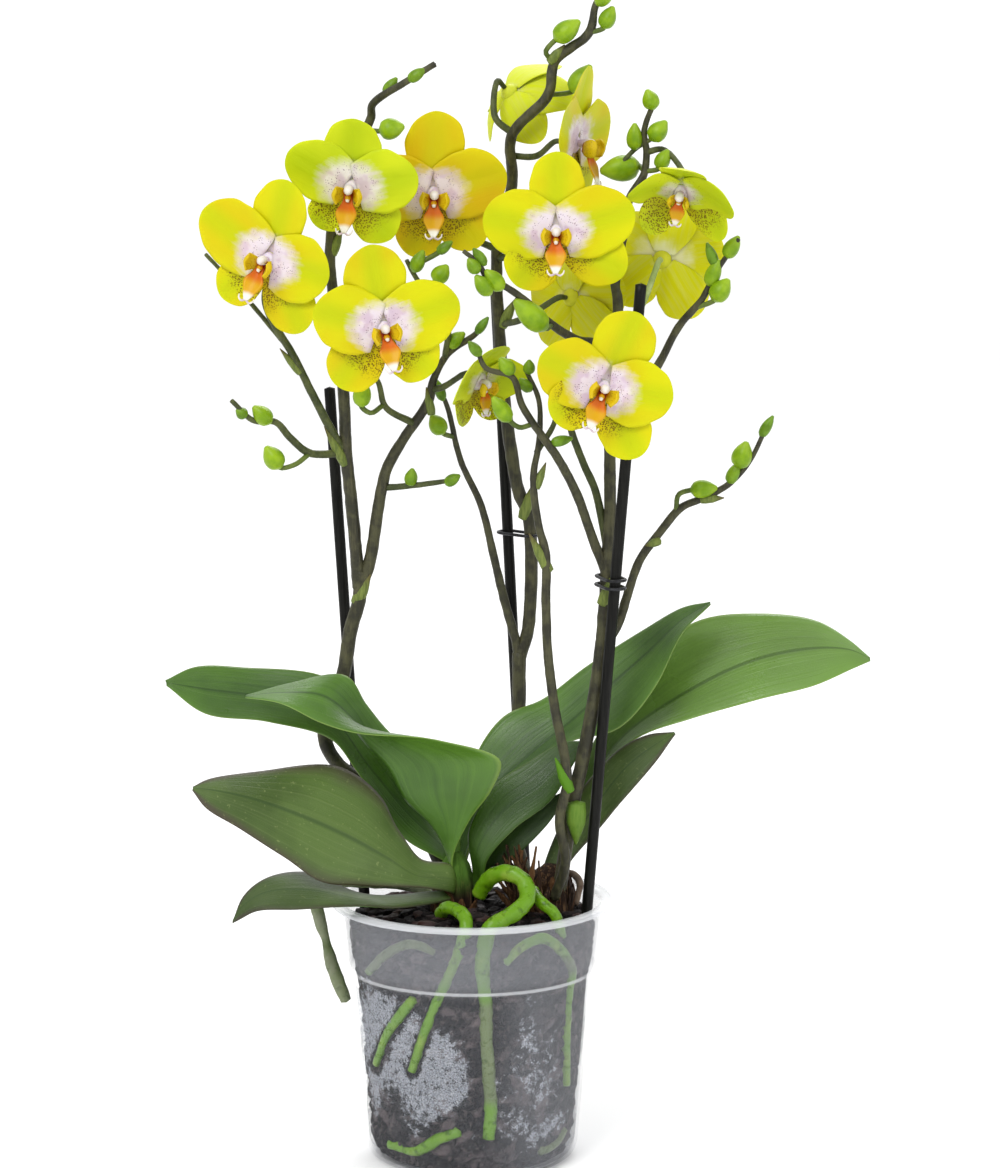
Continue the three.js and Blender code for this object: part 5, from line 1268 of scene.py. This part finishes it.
# ---- clips
# Soft-coated wire rings, bent by hand round a stake and the stem beside it, so that the stem stands
# upright. The coating is black and slightly glossy.
CLIPS = {
    "clip_middle": ((15.3, 45.6, 262), (24.2, 38, 262)),
    "clip_right_upper": ((56.4, -4, 251), (60, -14.4, 251)),
    "clip_right_lower": ((56.2, -4.3, 247.5), (59.8, -14.2, 247.5)),
}
CLIP_REACH = 4.2
CLIP_WIRE_RADIUS = 0.7
CLIP_WIRE_SIDES = 12
CLIP_BEND_STEPS = 16

wire = Look("clip_wire", Roughness=0.35, Specular_IOR_Level=0.25)
wire.paint(wire.mix(wire.fade(wire.noise(500, 3), 0.4, 0.6), "141416", "2c2d30"))
wire.bump(wire.noise(900, 2), 0.0002, 0.3)
for name, (start, end) in CLIPS.items():
    start, end = np.array(start), np.array(end)
    heading = math.atan2(end[1] - start[1], end[0] - start[0])
    route = []
    for centre, first in ((end, heading - math.pi / 2), (start, heading + math.pi / 2)):
        for angle in first + np.linspace(0, math.pi, CLIP_BEND_STEPS):
            route.append((centre, np.array([math.cos(angle), math.sin(angle), 0])))
    section = [
        (CLIP_REACH + CLIP_WIRE_RADIUS * math.cos(turn), CLIP_WIRE_RADIUS * math.sin(turn))
        for turn in np.arange(CLIP_WIRE_SIDES) * 2 * math.pi / CLIP_WIRE_SIDES
    ]
    rings = [centre + out * reach + (0, 0, up) for centre, out in route for reach, up in section]
    faces = grid_faces(len(route), CLIP_WIRE_SIDES, around=True)
    last = (len(route) - 1) * CLIP_WIRE_SIDES
    for corner in range(CLIP_WIRE_SIDES):
        after = (corner + 1) % CLIP_WIRE_SIDES
        faces.append((last + corner, last + after, after, corner))
    clip_skin = Skin()
    clip_skin.add(rings, faces)
    made = clip_skin.piece(name + "_wire", wire.material)
    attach(made, "root")
    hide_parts(name)

# ---- floor, light, camera
# A pale floor as wide as a studio's, a soft light above and in front, a weaker one on the right, and
# the camera at the height and distance of the photograph.
floor_mesh = bpy.data.meshes.new("floor")
floor_mesh.from_pydata([(-30, -12, 0), (30, -12, 0), (30, 60, 0), (-30, 60, 0)], [], [(0, 1, 2, 3)])
floor = bpy.data.objects.new("floor", floor_mesh)
bpy.context.scene.collection.objects.link(floor)
pale = Look("floor", Roughness=0.9, Specular_IOR_Level=0.0)
pale.paint(pale.mix(pale.noise(1.5, 2), "fafafa", "fcfcfc"))
floor_mesh.materials.append(pale.material)


def soft_light(name, place, aim, size, watts):
    lamp = bpy.data.lights.new(name, "AREA")
    lamp.size = size
    lamp.energy = watts
    made = bpy.data.objects.new(name, lamp)
    made.location = place
    made.rotation_euler = (Vector(aim) - Vector(place)).to_track_quat("-Z", "Y").to_euler()
    bpy.context.scene.collection.objects.link(made)


soft_light("key", (-0.9, -1.5, 2.0), (0, 0, 0.25), 1.2, 34)
soft_light("fill", (1.5, -1.2, 0.9), (0, 0, 0.25), 1.2, 8)
soft_light("back", (0.4, 1.4, 1.7), (0, 0, 0.3), 1.2, 14)
soft_light("sweep", (0, 10, 6), (0, 10, 0), 14, 520)
world = bpy.data.worlds.new("studio")
world.use_nodes = True
world.node_tree.nodes["Background"].inputs["Color"].default_value = (1, 1, 1, 1)
world.node_tree.nodes["Background"].inputs["Strength"].default_value = 0.7
bpy.context.scene.world = world
bpy.context.scene.view_settings.view_transform = "Standard"

CAMERA_PLACE = (0.0119, -1.900, 0.558)
CAMERA_PITCH = 9.3
CAMERA_LENS = 141.2
camera_data = bpy.data.cameras.new("camera")
camera_data.lens = CAMERA_LENS
camera_data.clip_end = 200
camera = bpy.data.objects.new("camera", camera_data)
camera.location = CAMERA_PLACE
camera.rotation_euler = (math.radians(90 - CAMERA_PITCH), 0, 0)
bpy.context.scene.collection.objects.link(camera)
bpy.context.scene.camera = camera
